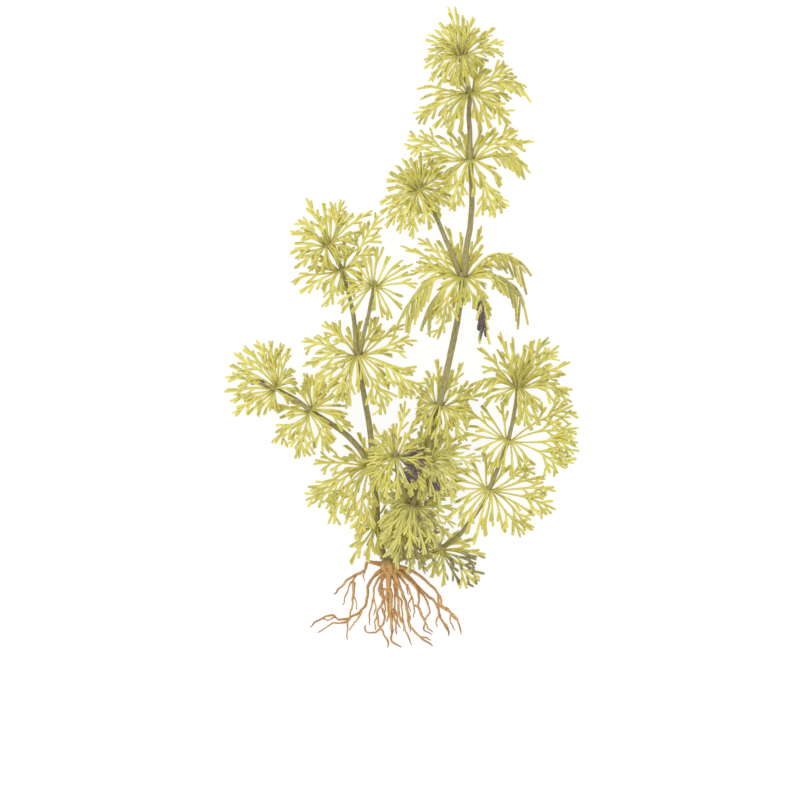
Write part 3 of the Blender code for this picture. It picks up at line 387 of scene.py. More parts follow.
# A root leaves the crown on its bearing and rise, in degrees, and then follows its route. The second root
# has neither, because it grows from the side of the first and crosses over the third. A rootlet is the
# height above the surface where it starts, its radius, and its spots seen from above.
ROOTS = {
    "root_1": Root(178, -8, 0.65, (
        (-15.5, -105.5, 4), (-17.2, -109.3, 2), (-24.1, -113, 0.7), (-28.1, -117.2, 0.6),
        (-31.3, -120.4, 0.4)), (
        (1.2, 0.34, ((-16.9, -108.9), (-17.6, -111.2), (-17.2, -113.9))),
        (0.5, 0.38, ((-20.7, -111.6), (-23.6, -115.4), (-25.9, -121.6), (-27.1, -125.6))))),
    "root_2": Root(None, None, 0.45, (
        (-21.9, -114.3, 0.6), (-22.3, -120.5, 0.5), (-22.9, -126, 1.4), (-24.2, -131.2, 2.3),
        (-25, -135.5, 1.1), (-25, -141.1, 0.4)), (
        (0.2, 0.3, ((-22.4, -121), (-20.6, -124.2), (-21.2, -127.4))),)),
    "root_3": Root(205, -15, 0.6, (
        (-12.6, -111.8, 2.4), (-15.5, -116.3, 0.8), (-16, -122.6, 0.6), (-18.4, -127.4, 0.6),
        (-24.1, -130.9, 0.5), (-28.6, -131.6, 0.5), (-32.6, -129.6, 0.5), (-38.9, -132.5, 0.4),
        (-42.1, -135.2, 0.4)), (
        (0.3, 0.4, ((-23.4, -130.9), (-26.4, -133.1), (-31.5, -133.3), (-34.4, -135.2), (-38.3, -137.5))),
        (0.3, 0.4, ((-18.3, -127.6), (-20.3, -131.4), (-22.7, -134.3), (-24.2, -136.6))),
        (0.3, 0.34, ((-30.6, -130.6), (-33.8, -131.9), (-36.4, -131.3))))),
    "root_4": Root(222, 18, 0.45, (
        (-12.4, -115.9, 3.4), (-13.3, -122.6, 0.6), (-15.1, -130.3, 0.5), (-14.6, -134.8, 0.4)), (
        (0.6, 0.32, ((-13.1, -121.2), (-12.2, -126), (-13, -130.4))),)),
    "root_5": Root(240, -18, 0.6, (
        (-10.1, -115.9, 1), (-10.1, -119.9, 0.7), (-8.6, -123.1, 0.6), (-11.3, -128, 0.6),
        (-10.6, -134.3, 0.6), (-8.8, -137.5, 0.5), (-6.8, -141.5, 0.4), (-6.3, -144.7, 0.4)), (
        (0.8, 0.42, ((-9.6, -114.5), (-8.9, -119.5), (-7.9, -124.5), (-8.1, -129.5))),
        (0.5, 0.45, ((-9.4, -121.1), (-8.5, -117.9), (-6.6, -119.2), (-6.3, -123.4))),
        (0.3, 0.45, ((-9.3, -126), (-8, -131.6), (-9.9, -135.2), (-11.9, -137.3), (-14.9, -137.7),
                     (-16.9, -136.1), (-16.6, -134.1))),
        (0.3, 0.36, ((-11.2, -129.6), (-12.6, -133.2), (-12, -136.4))))),
    "root_6": Root(262, 6, 0.95, (
        (-6.3, -115.9, 2.6), (-5.2, -120.8, 0.9), (-5.5, -127.1, 0.8), (-4.9, -133.4, 0.7),
        (-4.8, -139.3, 0.6)), (
        (0.5, 0.5, ((-4.8, -126.4), (-3.2, -132.6), (-2.7, -138.7))),
        (0.2, 0.45, ((-4.9, -138.6), (-5, -141.5), (-2.8, -142.8), (-0.3, -144.4))),
        (0.8, 0.5, ((-6.6, -115.6), (-7.2, -121.4), (-6.4, -127.6), (-7, -133))))),
    "root_7": Root(281, -26, 0.55, (
        (-2.9, -116.6, 1), (-2, -122.2, 0.6), (-1.4, -130.3, 0.5), (0.2, -133.4, 0.5),
        (2.5, -139.3, 0.4), (4.3, -143.3, 0.3)), (
        (0.8, 0.42, ((-3.9, -115), (-3.3, -120.5), (-3.6, -126), (-2.4, -131.5), (-1, -136))),
        (0.3, 0.38, ((-2.2, -121), (-0.4, -123.4), (-0.2, -128.2), (0.7, -133.3))),
        (0.3, 0.38, ((-3.6, -127), (-0.9, -131.2), (0.7, -133.6), (0.2, -137.2))))),
    "root_8": Root(295, 24, 0.65, (
        (-0.8, -117.7, 3.6), (1.6, -124.4, 0.7), (2.3, -129.4, 0.6), (3.2, -134.3, 0.6),
        (5.2, -136.6, 0.5), (8.3, -139.9, 0.5), (14.2, -143.8, 0.4)), (
        (0.3, 0.42, ((2.2, -127.4), (3.2, -130.4), (2.9, -133.9), (3.6, -137.2))),
        (0.3, 0.36, ((8.2, -139.8), (11, -139.9), (13.1, -141.4))))),
    "root_9": Root(307, -18, 0.45, (
        (2.3, -116.8, 0.8), (4.4, -122.2, 0.5), (5.3, -126, 0.4), (5, -131.2, 0.3)), (
        (0.3, 0.4, ((5.2, -125), (7.3, -126.2), (8.1, -128.9), (10, -131.9), (9.8, -137))),
        (0.3, 0.34, ((4.3, -121.4), (2.8, -124.6), (3.5, -128.2))))),
    "root_10": Root(321, 20, 0.55, (
        (4.1, -114.6, 4.4), (7.4, -119.9, 0.8), (7.2, -125.3, 0.5), (8.8, -129.8, 0.5),
        (10.1, -132.5, 0.5), (9.7, -136.2, 0.4), (13.3, -138.4, 0.4)), (
        (0.4, 0.42, ((7.2, -118.6), (10, -121.4), (12.4, -127.8), (10.3, -131.9), (11.2, -134.8),
                     (13.9, -137.7))),
        (0.4, 0.32, ((2.4, -115.6), (2.2, -118), (2.6, -120.6))))),
    "root_11": Root(335, -16, 0.65, (
        (2.2, -111.6, 2.4), (6.2, -115.9, 0.8), (10.2, -119.9, 0.7), (15.3, -124.4, 0.6),
        (16.9, -130.3, 0.5), (20.3, -136.1, 0.5), (20.9, -139, 0.4)), (
        (0.3, 0.45, ((15.4, -124.6), (18, -126.4), (20.3, -127.4), (22.2, -129.7), (25.2, -132.3))),
        (0.3, 0.36, ((16.8, -129.8), (15.2, -132.6), (15.8, -135.6))))),
    "root_12": Root(352, 4, 0.6, (
        (4.6, -109.6, 4.2), (11, -114.5, 0.8), (16.4, -120.2, 0.6), (18.2, -125.6, 0.5),
        (20.9, -127.3, 0.5), (23.6, -130.2, 0.5), (25.2, -132.5, 0.5), (26.8, -138.8, 0.4)), (
        (0.4, 0.42, ((16.1, -119.8), (16.3, -124.8), (17.3, -130.9), (20.3, -134.8), (21.6, -138.2))),
        (0.3, 0.34, ((22, -128.4), (21.8, -133.2), (24.2, -136.8))))),
}

# Stains: first and last bearing, nearest and furthest distance from the whorl's middle, the share of the
# lobes that have them and their strength
Stain = namedtuple("Stain", "whorl first last near far share strength")
PURPLE_STAINS = (
    Stain("front_whorl", -66, 22, 2.5, 13.5, 0.55, 1.0),
    Stain("front_whorl", -104, -66, 4, 9, 0.35, 0.9),
    Stain("main_low_whorl", -88, -60, 8, 14, 0.5, 1.0),
    Stain("main_low_whorl", -98, -82, 16, 20, 0.6, 1.0),
    Stain("main_base_whorl", -66, -40, 4.5, 8, 0.5, 0.9),
    Stain("fork_whorl", -76, -52, 13, 30, 0.5, 1.0),
    Stain("far_left_tuft", 134, 150, 5.8, 10.8, 0.8, 1.0),
    Stain("far_left_tuft", 156, 176, 4.3, 7.8, 0.8, 1.0),
)
DARK_STAINS = (
    Stain("right_foot_whorl", -76, -10, 5, 26, 0.85, 1.0),
    Stain("main_foot_whorl", -104, 10, 4, 24, 0.7, 0.8),
    Stain("main_base_whorl", -80, -10, 8, 24, 0.3, 0.7),
    Stain("second_whorl", -156, -130, 8, 26, 0.3, 0.4),
    Stain("fork_whorl", -44, 24, 14, 34, 0.5, 0.55),
    Stain("fork_whorl", -160, -105, 14, 34, 0.4, 0.4),
)

# Low corner, high corner and strength of the purple brown patches on the stems, seen from above
STEM_STAINS = (
    ((-1.0, -88.0), (9.0, -63.0), 0.3),
    ((-6.0, -67.0), (1.0, -55.0), 0.3),
    ((-29.0, -2.0), (-19.0, 34.0), 0.25),
)

Branch = namedtuple("Branch", "stations children paint")
Station = namedtuple("Station", "centre along roll half_width half_thick share")
Paint = namedtuple("Paint", "hue chance")
NO_MARK = (0.0, 0.0, 0.0, 1.0)


def linear(level):
    """A display level from 0 to 255 as linear light."""
    value = level / 255.0
    return value / 12.92 if value <= 0.04045 else ((value + 0.055) / 1.055) ** 2.4


def colour(*levels):
    return (*(linear(level) for level in levels), 1.0)


WHITE = (1.0, 1.0, 1.0, 1.0)
FLOOR_DARK = (0.19, 0.19, 0.19, 1.0)
FLOOR_LIGHT = (0.21, 0.21, 0.21, 1.0)
# The leaf, tuft and dense olives colour the painted shade down one side of the lobes, and also their tips,
# centres and speckles.
LEAF_LIGHT = colour(221, 211, 112)
LEAF_DEEP = colour(202, 193, 96)
LEAF_OLIVE = colour(172, 166, 92)
DENSE_LIGHT = colour(222, 214, 116)
DENSE_DEEP = colour(210, 202, 112)
DENSE_OLIVE = colour(200, 194, 116)
TUFT_OLIVE = colour(174, 168, 94)
CORE_OLIVE = colour(178, 171, 94)
DARK_OLIVE = colour(148, 142, 98)
STAIN_OLIVE = colour(130, 124, 92)
PURPLE_BROWN = colour(94, 80, 90)
STEM_LIGHT = colour(172, 163, 102)
STEM_DEEP = colour(150, 141, 90)
STEM_SHADE = colour(122, 112, 90)
STEM_NODE = colour(144, 134, 86)
# Painted highlight down the left side of each stem
STEM_HIGHLIGHT = colour(200, 188, 96)
ROOT_LIGHT = colour(214, 172, 108)
ROOT_DEEP = colour(190, 146, 86)
# Painted shade down one side of the roots, and also their darker spots and tips
ROOT_SHADE = colour(140, 100, 64)
CROWN_LIGHT = colour(218, 176, 110)
CROWN_DEEP = colour(194, 150, 88)


# Materials

def add_node(tree, kind, inputs, **settings):
    """A node of that kind. Its inputs are numbers, colours or the outputs of other nodes."""
    made = tree.nodes.new(kind)
    for name, value in settings.items():
        setattr(made, name, value)
    for name, value in inputs.items():
        if isinstance(value, Output):
            tree.links.new(value.socket, made.inputs[name])
        else:
            made.inputs[name].default_value = value
    return made


class Output:
    """A node's output. Sums, differences and products of outputs are nodes too."""

    def __init__(self, socket):
        self.socket = socket
        self.tree = socket.id_data

    def maths(self, operation, other=0.0, clamp=False):
        made = add_node(self.tree, "ShaderNodeMath", {0: self, 1: other},
                        operation=operation, use_clamp=clamp)
        return Output(made.outputs[0])

    def __add__(self, other):
        return self.maths("ADD", other)

    def __sub__(self, other):
        return self.maths("SUBTRACT", other)

    def __mul__(self, other):
        return self.maths("MULTIPLY", other)

    def step(self, low, high, to_low=0.0, to_high=1.0):
        """A smooth step from low to high."""
        made = add_node(self.tree, "ShaderNodeMapRange", {0: self, 1: low, 2: high, 3: to_low, 4: to_high},
                        interpolation_type="SMOOTHSTEP")
        return Output(made.outputs[0])

    def noise(self, scale, detail=2.0, roughness=0.5):
        """Noise over the place that the output gives."""
        made = add_node(self.tree, "ShaderNodeTexNoise",
                        {"Vector": self, "Scale": scale, "Detail": detail, "Roughness": roughness})
        return Output(made.outputs[0])


def attribute(tree, name):
    """The three channels and the alpha of a painted attribute."""
    made = add_node(tree, "ShaderNodeAttribute", {}, attribute_name=name)
    parts = add_node(tree, "ShaderNodeSeparateColor", {0: Output(made.outputs["Color"])})
    return [Output(socket) for socket in (*parts.outputs[:3], made.outputs["Alpha"])]


def new_material(name, surface_roughness, specular):
    """A material, its shader's inputs and its object coordinates."""
    material = bpy.data.materials.new(name)
    material.use_nodes = True
    tree = material.node_tree
    inputs = tree.nodes["Principled BSDF"].inputs
    inputs["Roughness"].default_value = surface_roughness
    inputs["Specular IOR Level"].default_value = specular
    return material, inputs, Output(add_node(tree, "ShaderNodeTexCoord", {}).outputs["Object"])


def dress(material, inputs, base, layers, height, strength, distance, roughness=None):
    """Gives the shader a base colour under its layers, a bump in metres and perhaps a roughness."""
    tree = material.node_tree
    for share, tint in layers:
        made = add_node(tree, "ShaderNodeMix", {0: share, 6: base, 7: tint}, data_type="RGBA")
        base = Output(made.outputs[2])
    made = add_node(tree, "ShaderNodeBump", {"Strength": strength, "Distance": distance, "Height": height})
    tree.links.new(base.socket, inputs["Base Color"])
    tree.links.new(made.outputs[0], inputs["Normal"])
    if roughness:
        tree.links.new(roughness.socket, inputs["Roughness"])
    return material


def leaf_material(name, light, deep, olive, centre_shade, mottle):
    """Yellow green lobes with painted olive shade down one side, darker tips, an olive centre and stains.
    """
    material, inputs, place = new_material(name, 0.6, 0.2)
    inputs["Subsurface Weight"].default_value = GLOW_WEIGHT
    inputs["Subsurface Radius"].default_value = GLOW_COLOUR
    inputs["Subsurface Scale"].default_value = GLOW_DEPTH
    along, across, hue, chance = attribute(place.tree, "paint")
    purple, dark, core, _ = attribute(place.tree, "marks")
    broad = place.noise(150.0)
    fine = place.noise(900.0, 4.0, 0.6)
    speckle = place.noise(1500.0, 2.0, 0.6)
    # Painted shade: olive down one side of many lobes, broken up by noise
    painted_side_shade = across.step(0.4, 0.9) * fine.step(0.34, 0.52) * chance.step(0.25, 0.6)
    tips = along.step(0.72, 1.0) * hue.step(0.45, 0.8)
    centre = along.step(0.3, 0.0, 0.0, centre_shade)
    layers = (
        ((broad + hue * 0.5).step(0.45, 1.05), deep),
        ((painted_side_shade * 0.9 + tips * 0.5).maths("ADD", centre, clamp=True), olive),
        (speckle.step(0.44, 0.6, 0.0, mottle), olive),
        (fine.step(0.55, 0.7) * broad.step(0.5, 0.62) * 0.55, DARK_OLIVE),
        (core * fine.step(0.3, 0.6, 0.35, 1.0), CORE_OLIVE),
        (dark * fine.step(0.26, 0.5), STAIN_OLIVE),
        (purple * fine.step(0.2, 0.42), PURPLE_BROWN),
    )
    height = fine + (across - 0.5).maths("ABSOLUTE").step(0.0, 0.3, -0.6, 0.0)
    return dress(material, inputs, light, layers, height, 0.35, 0.00015, fine.step(0.2, 0.8, 0.45, 0.7))


def stem_material():
    """Streaks along the stem, darker flecks, a painted highlight down its left side, darker nodes and
    purple brown patches.
    """
    material, inputs, place = new_material("stem_olive", 0.5, 0.3)
    around_x, around_y, along, swell = attribute(place.tree, "paint")
    purple = attribute(place.tree, "marks")[0]
    made = add_node(place.tree, "ShaderNodeCombineXYZ", {0: around_x, 1: around_y, 2: along})
    streaks = Output(made.outputs[0]).noise(7.0, 3.0, 0.6)
    flecks = place.noise(700.0, 4.0, 0.65)
    layers = (
        (streaks.step(0.38, 0.56), STEM_DEEP),
        (streaks.step(0.5, 0.66) * flecks.step(0.36, 0.6), STEM_SHADE),
        (flecks.step(0.54, 0.66, 0.0, 0.75), STEM_SHADE),
        # Painted highlight: a paler stripe down the stem's left side, where around_x is near 1
        (around_x.step(0.88, 1.0) * streaks.step(0.6, 0.4) * 0.7, STEM_HIGHLIGHT),
        (swell * 0.5, STEM_NODE),
        (purple * flecks.step(0.46, 0.56), PURPLE_BROWN),
    )
    shine = streaks.step(0.3, 0.7, 0.42, 0.62)
    return dress(material, inputs, STEM_LIGHT, layers, streaks + flecks * 0.5, 0.4, 0.0002, shine)


def root_material(name, light, deep):
    """Orange brown with painted shade down one side of each root, darker spots and tips, and olive where it
    is marked. On the crown the same mask darkens its ridges.
    """
    material, inputs, place = new_material(name, 0.7, 0.2)
    along, across, hue, _ = attribute(place.tree, "paint")
    green = attribute(place.tree, "marks")[0]
    broad = place.noise(220.0)
    fine = place.noise(1300.0, 5.0, 0.65)
    # Painted shade down the left side of each root and rootlet; on the crown this darkens the ridges
    # instead
    edge = across.step(0.5, 1.0, 0.0, 0.7) * fine.step(0.35, 0.55)
    shade_and_spots = edge + fine.step(0.5, 0.7, 0.0, 0.7)
    layers = (
        ((broad + hue * 0.4).step(0.4, 0.95), deep),
        (shade_and_spots.maths("ADD", along.step(0.8, 1.0, 0.0, 0.6), clamp=True), ROOT_SHADE),
        (green * fine.step(0.3, 0.6, 0.5, 1.0), STEM_DEEP),
    )
    return dress(material, inputs, light, layers, fine + broad, 0.5, 0.0003, fine.step(0.2, 0.8, 0.6, 0.85))


def floor_material():
    """A pale sheet that is lit a little from below, as on a light table."""
    material, inputs, place = new_material("pale_surface", 0.85, 0.1)
    inputs["Emission Color"].default_value = WHITE
    inputs["Emission Strength"].default_value = FLOOR_GLOW
    grain = place.noise(60.0, 4.0)
    return dress(material, inputs, FLOOR_DARK, ((grain, FLOOR_LIGHT),), grain, 0.02, 0.0002)


# Curves

def spline_point(before, start, end, after, share):
    """A point on the smooth curve through start and end, share of the way along."""
    square = share * share
    cube = square * share
    return 0.5 * (
        2.0 * start
        + (end - before) * share
        + (2.0 * before - 5.0 * start + 4.0 * end - after) * square
        + (3.0 * start - before - 3.0 * end + after) * cube
    )


def smooth_route(route, steps):
    points = [Vector(point) for point in route]
    padded = [2.0 * points[0] - points[1], *points, 2.0 * points[-1] - points[-2]]
    curve = []
    for index in range(1, len(padded) - 2):
        for step in range(steps):
            curve.append(spline_point(*padded[index - 1:index + 3], step / steps))
    curve.append(points[-1])
    return curve


def directions(curve):
    return [(ahead - behind).normalized()
            for behind, ahead in zip([curve[0], *curve], [*curve[1:], curve[-1]])]


def run_lengths(curve):
    """How far along the curve each of its points is."""
    lengths = [0.0]
    for before, after in zip(curve, curve[1:]):
        lengths.append(lengths[-1] + (after - before).length)
    return lengths


def side_and_top(direction):
    left = UP.cross(direction).normalized()
    return left, direction.cross(left).normalized()


def levelled(place):
    return Vector((place.x, place.y, 0.0))


def turned(flat, bearing):
    """A level vector turned anticlockwise by that many degrees, as seen from above."""
    angle = radians(bearing)
    return Vector((flat.x * cos(angle) - flat.y * sin(angle),
                   flat.x * sin(angle) + flat.y * cos(angle), 0.0))


def add_object(name, data):
    made = bpy.data.objects.new(name, data)
    bpy.context.scene.collection.objects.link(made)
    return made


# Cages: closed four-sided branching tubes that a subdivision rounds off

class Cage:
    def __init__(self):
        self.points = []
        self.faces = []
        self.paints = []
        self.marks = []

    def point(self, place, paint, mark):
        self.points.append(place)
        self.paints.append(paint)
        self.marks.append(mark)
        return len(self.points) - 1

    def section(self, station, top, paint, mark_of):
        """Left top, right top, right bottom and left bottom corners of one cross-section."""
        left = top.cross(station.along).normalized()
        up = station.along.cross(left).normalized()
        turned_left = left * cos(station.roll) + up * sin(station.roll)
        turned_up = up * cos(station.roll) - left * sin(station.roll)
        wide = turned_left * station.half_width
        thick = turned_up * station.half_thick
        offsets = ((0.0, wide + thick), (1.0, thick - wide), (1.0, -wide - thick), (0.0, wide - thick))
        corners = []
        for side, offset in offsets:
            place = station.centre + offset
            mark = mark_of(place, paint.chance)
            corners.append(self.point(place, (station.share, side, paint.hue, paint.chance), mark))
        return corners

    def grow(self, base, branch, top, mark_of):
        """Adds a branch on the four corners of its base, and its children on the sides of its sections."""
        rings = [base]
        for station in branch.stations:
            rings.append(self.section(station, top, branch.paint, mark_of))
        for index, (near, far) in enumerate(zip(rings, rings[1:])):
            for corner in range(4):
                child = branch.children.get((index, corner))
                after = (corner + 1) % 4
                if child is None:
                    self.faces.append((near[corner], near[after], far[after], far[corner]))
                elif corner == LEFT:
                    self.grow((near[0], far[0], far[3], near[3]), child, top, mark_of)
                else:
                    self.grow((far[1], near[1], near[2], far[2]), child, top, mark_of)
        self.faces.append(tuple(rings[-1]))

    def plant(self, foot, branch, top, mark_of):
        """Adds a branch that grows from a closed foot of its own."""
        base = self.section(foot, top, branch.paint, mark_of)
        self.faces.append(tuple(base))
        self.grow(base, branch, top, mark_of)

    def finish(self, name, material, levels, node):
        """The mesh, rounded by that many levels, as a piece that stands for a CAD node."""
        mesh = bpy.data.meshes.new(name)
        mesh.from_pydata([place * MM for place in self.points], [], self.faces)
        for label, values in (("paint", self.paints), ("marks", self.marks)):
            layer = mesh.attributes.new(label, "FLOAT_COLOR", "POINT")
            layer.data.foreach_set("color", [number for value in values for number in value])
        work = bmesh.new()
        work.from_mesh(mesh)
        bmesh.ops.recalc_face_normals(work, faces=work.faces)
        work.to_mesh(mesh)
        work.free()
        thing = add_object(name, mesh)
        if levels:
            rounding = thing.modifiers.new("rounding", "SUBSURF")
            rounding.levels = levels
            rounding.render_levels = levels
            graph = bpy.context.evaluated_depsgraph_get()
            rounded = bpy.data.meshes.new_from_object(thing.evaluated_get(graph), depsgraph=graph)
            thing.modifiers.clear()
            thing.data = rounded
            bpy.data.meshes.remove(mesh)
        thing.data.name = name
        thing.data.materials.clear()
        thing.data.materials.append(material)
        thing.data.shade_smooth()
        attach(thing, PLANT_BODY)
        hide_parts(node)


# Leaves

def radius_at(stem, index, count):
    """A stem's radius at one of that many even steps along it."""
    return stem.start_radius + (stem.end_radius - stem.start_radius) * index / (count - 1)


def whorl_frame(whorl):
    """Where a whorl stands, its stem's direction there, and the stem's radius there."""
    stem = STEMS[whorl.stem]
    curve = smooth_route(stem.route, 2)
    index = whorl.place * 2
    return curve[index], directions(curve)[index], radius_at(stem, index, len(curve))


def forward(path, part):
    """The level direction of a path there."""
    return (path.flat(part + AHEAD) - path.flat(part - AHEAD)).normalized()


def beside(path, part, sideways):
    """A spot that far to the left of a path, as seen from above."""
    return path.flat(part) + turned(forward(path, part), 90.0) * sideways


class LeafShape:
    """The midline of a leaf seen from above, and the height of the leaf's surface."""

    def __init__(self, middle, direction, radius, leaf, number, wiggle):
        bearing, self.length, fan = leaf[:3]
        self.fan = fan * FAN_SPREAD
        self.middle = middle
        self.downhill = levelled(direction).normalized()
        self.top = (self.downhill * WHORL_SLOPE + UP).normalized()
        self.bearing = radians(bearing)
        bend = leaf[3] if len(leaf) > 3 else -LEAF_BEND * cos(self.bearing)
        left, top = side_and_top(direction)
        turn = self.bearing - atan2(direction.y, direction.x)
        out = sin(turn) * left - cos(turn) * top
        self.inside = middle + out * radius * LEAF_ROOT
        self.start = middle + out * (radius + LEAF_START_CLEAR)
        self.start_lift = self.start.z - self.plane(self.start)
        reach = Vector((cos(self.bearing), sin(self.bearing), 0.0))
        self.chord = levelled(middle + (self.length + LEAF_END) * reach - self.start)
        self.across = Vector((-self.chord.y, self.chord.x, 0.0))
        self.comb = abs(bend) >= COMB_BEND and self.fan >= COMB_FAN
        self.bulge = -tan(radians(bend) / 4.0) / 2.0 * (COMB_BULGE if self.comb else 1.0)
        self.arch = LEAF_ARCH + LAYER_STEP * (number % 2) + BEND_LIFT * abs(bend)
        pulled = LEVEL_HANG + max(0.0, abs(bend) - LEAF_BEND) / BEND_TO_HANG
        self.hang = min(MOST_HANG, pulled * abs(cos(self.bearing)))
        self.wiggle = wiggle

    def flat(self, share):
        hump = 4.0 * share * (1.0 - share)
        sway = self.wiggle * sin(tau * share)
        return levelled(self.start) + self.chord * share + self.across * (self.bulge * hump + sway)

    def share(self, part):
        """A part of the leaf is already its share. A bow's isn't."""
        return part

    def plane(self, spot):
        return self.middle.z - WHORL_SLOPE * (spot - self.middle).dot(self.downhill)

    def placed(self, spot, share, lift=0.0):
        """The point of the leaf's surface over a spot, which is that share of the way along."""
        share = min(share, 1.0)
        height = self.plane(spot) + self.start_lift * (1.0 - share) ** 2
        height += self.arch * 4.0 * share * (1.0 - share) - TIP_DROOP * share ** 3 + lift
        return Vector((spot.x, spot.y, max(height, LEAF_REST)))

    def on_midline(self, share):
        return self.placed(self.flat(share), share)

    def tangent(self, share):
        return (self.on_midline(share + AHEAD) - self.on_midline(share - AHEAD)).normalized()


class Bow:
    """A level curve drawn towards a knee, and the shares of the leaf's length where it starts and ends."""

    def __init__(self, start, knee, tip, first_share, last_share):
        self.start = start
        self.knee = knee
        self.tip = tip
        self.first_share = first_share
        self.last_share = last_share
        self.length = (knee - start).length + (tip - knee).length

    def flat(self, part):
        return self.start * (1.0 - part) ** 2 + self.knee * 2.0 * part * (1.0 - part) + self.tip * part ** 2

    def share(self, part):
        return self.first_share + (self.last_share - self.first_share) * part


def offshoot(parent, start, end, sideways, edge, hang, dice):
    """A level curve that leaves its parent at an angle, turns a little towards it and hangs."""
    first = beside(parent, start, copysign(edge, sideways))
    knee_part = start + (end - start) * dice.uniform(*KNEE_ALONG)
    knee = beside(parent, knee_part, sideways * dice.uniform(*KNEE_OUT))
    tip = beside(parent, end, sideways)
    drop = Vector((0.0, -1.0, 0.0)) * hang * (tip - first).length
    return Bow(first, knee + drop * KNEE_DROP, tip + drop, parent.share(start), parent.share(end))


def run_out(parent, sideways, dice):
    """How much of its parent's length a lobe needs to get that far out."""
    angle = radians(dice.uniform(*LOBE_ANGLE))
    return max(SHORTEST_LOBE, abs(sideways) / tan(angle)) / parent.length


def finger_places(style, path, sideways, dice):
    """Where the fingers of a lobe leave it and how far out they go."""
    if path.length < SHORTEST_FORKED:
        return []
    count = min(MOST_FINGERS, int(FINGER_FILL * path.length / style.finger_gap))
    side = copysign(1.0, sideways) * dice.choice((-1.0, 1.0, 1.0))
    places = []
    for place in range(count):
        at = FINGERS_FROM + FINGERS_RUN * (place + dice.uniform(*FINGER_ROOM)) / count
        places.append((at, side * style.finger_gap * dice.uniform(*FINGER_REACH)))
        side = -side
    return places


def lobe(shape, style, parent, start, end, sideways, start_lift, depth, dice):
    """A lobe on the midrib, or a finger on a lobe, wider towards its blunt end."""
    hang = shape.hang if depth == 0 else 0.0
    path = offshoot(parent, start, end, sideways, style.rib * LOBE_EDGE, hang, dice)
    hump = dice.uniform(*LOBE_HUMP)
    curl = dice.uniform(*LOBE_CURL)
    roll = dice.uniform(*LOBE_ROLL)
    size = dice.uniform(*LOBE_SIZE) * (1.0 if depth == 0 else FINGER_SIZE)

    def lift(part):
        return start_lift * (1.0 - part) + hump * sin(pi * part) + curl * part * part

    def centre(part):
        return shape.placed(path.flat(part), path.share(part), lift(part))

    parts = [LOBE_NECK]
    children = {}
    half = LOBE_BASE / 2.0 / path.length
    fingers = finger_places(style, path, sideways, dice) if depth == 0 and not shape.comb else []
    for place, (at, out) in enumerate(fingers):
        parts += [at - half, at + half]
        reached = min(FURTHEST_END, at + run_out(path, out, dice))
        key = (2 * place + 2, LEFT if out > 0.0 else RIGHT)
        children[key] = lobe(shape, style, path, at, reached, out, lift(at), depth + 1, dice)
    if not fingers:
        parts.append(0.5)
    stations = []
    for part in (*parts, LOBE_LAST_JOINT, 1.0):
        along = (centre(part + AHEAD) - centre(part - AHEAD)).normalized()
        wide = style.base + (style.tip - style.base) * sqrt(max(part, 0.0))
        wide *= size * (BLUNT_END if part == 1.0 else 1.0)
        stations.append(Station(centre(part), along, roll * part, wide, LOBE_THICK, path.share(part)))
    return Branch(stations, children, Paint(dice.random(), dice.random()))


def lobe_places(shape, style, dice):
    """Where the lobes of a leaf leave its midrib, where they end and how far out, from the innermost on."""
    step = COMB_STEP if shape.comb else style.lobe_step
    first_lobe = COMB_FIRST if shape.comb else style.first_lobe
    room = (style.last_lobe - first_lobe) * shape.length
    fitting = room / step if shape.comb else min(room / step, 2.0 * shape.fan / style.fan_gap)
    count = max(1, round(fitting))
    root_side = -copysign(1.0, cos(shape.bearing))
    side = dice.choice((-1.0, 1.0))
    places = []
    for place in range(count):
        outward = place / max(count - 1, 1)
        at = first_lobe + (style.last_lobe - first_lobe) * (place + dice.uniform(*LOBE_ROOM)) / count
        out = shape.fan * (1.0 - FAN_TAPER * outward) * dice.uniform(*LOBE_REACH)
        end = at + run_out(shape, out, dice)
        if shape.comb:
            side = -root_side if place % COMB_TURN == 1 else root_side
            out = shape.fan * (dice.uniform(*COMB_REACH) if side == root_side else COMB_BACK_REACH)
            end = at + dice.uniform(*COMB_RUN)
        places.append((at, min(end, FURTHEST_END), side * out))
        side = -side
    return places


def leaf_branch(shape, style, dice):
    """A bare stalk and midrib with its lobes."""
    half = LOBE_BASE / 2.0 / shape.length
    shares = [0.0, STALK_PART * style.first_lobe]
    children = {}
    for place, (at, end, sideways) in enumerate(lobe_places(shape, style, dice)):
        shares += [at - half, at + half]
        key = (2 * place + 3, LEFT if sideways > 0.0 else RIGHT)
        children[key] = lobe(shape, style, shape, at, end, sideways, 0.0, 0, dice)
    last_share = COMB_END if shape.comb else 1.0
    rib = COMB_RIB if shape.comb else style.rib
    stations = []
    for share in (*shares, LEAF_LAST_JOINT, last_share):
        grown = max(0.0, share - style.first_lobe) / (1.0 - style.first_lobe)
        wide = rib + (style.tip - rib) * sqrt(grown)
        wide *= BLUNT_END if share == last_share else 1.0
        thick = RIB_THICK + (LOBE_THICK - RIB_THICK) * share
        stations.append(Station(shape.on_midline(share), shape.tangent(share), 0.0, wide, thick, share))
    return Branch(stations, children, Paint(dice.random(), dice.random()))


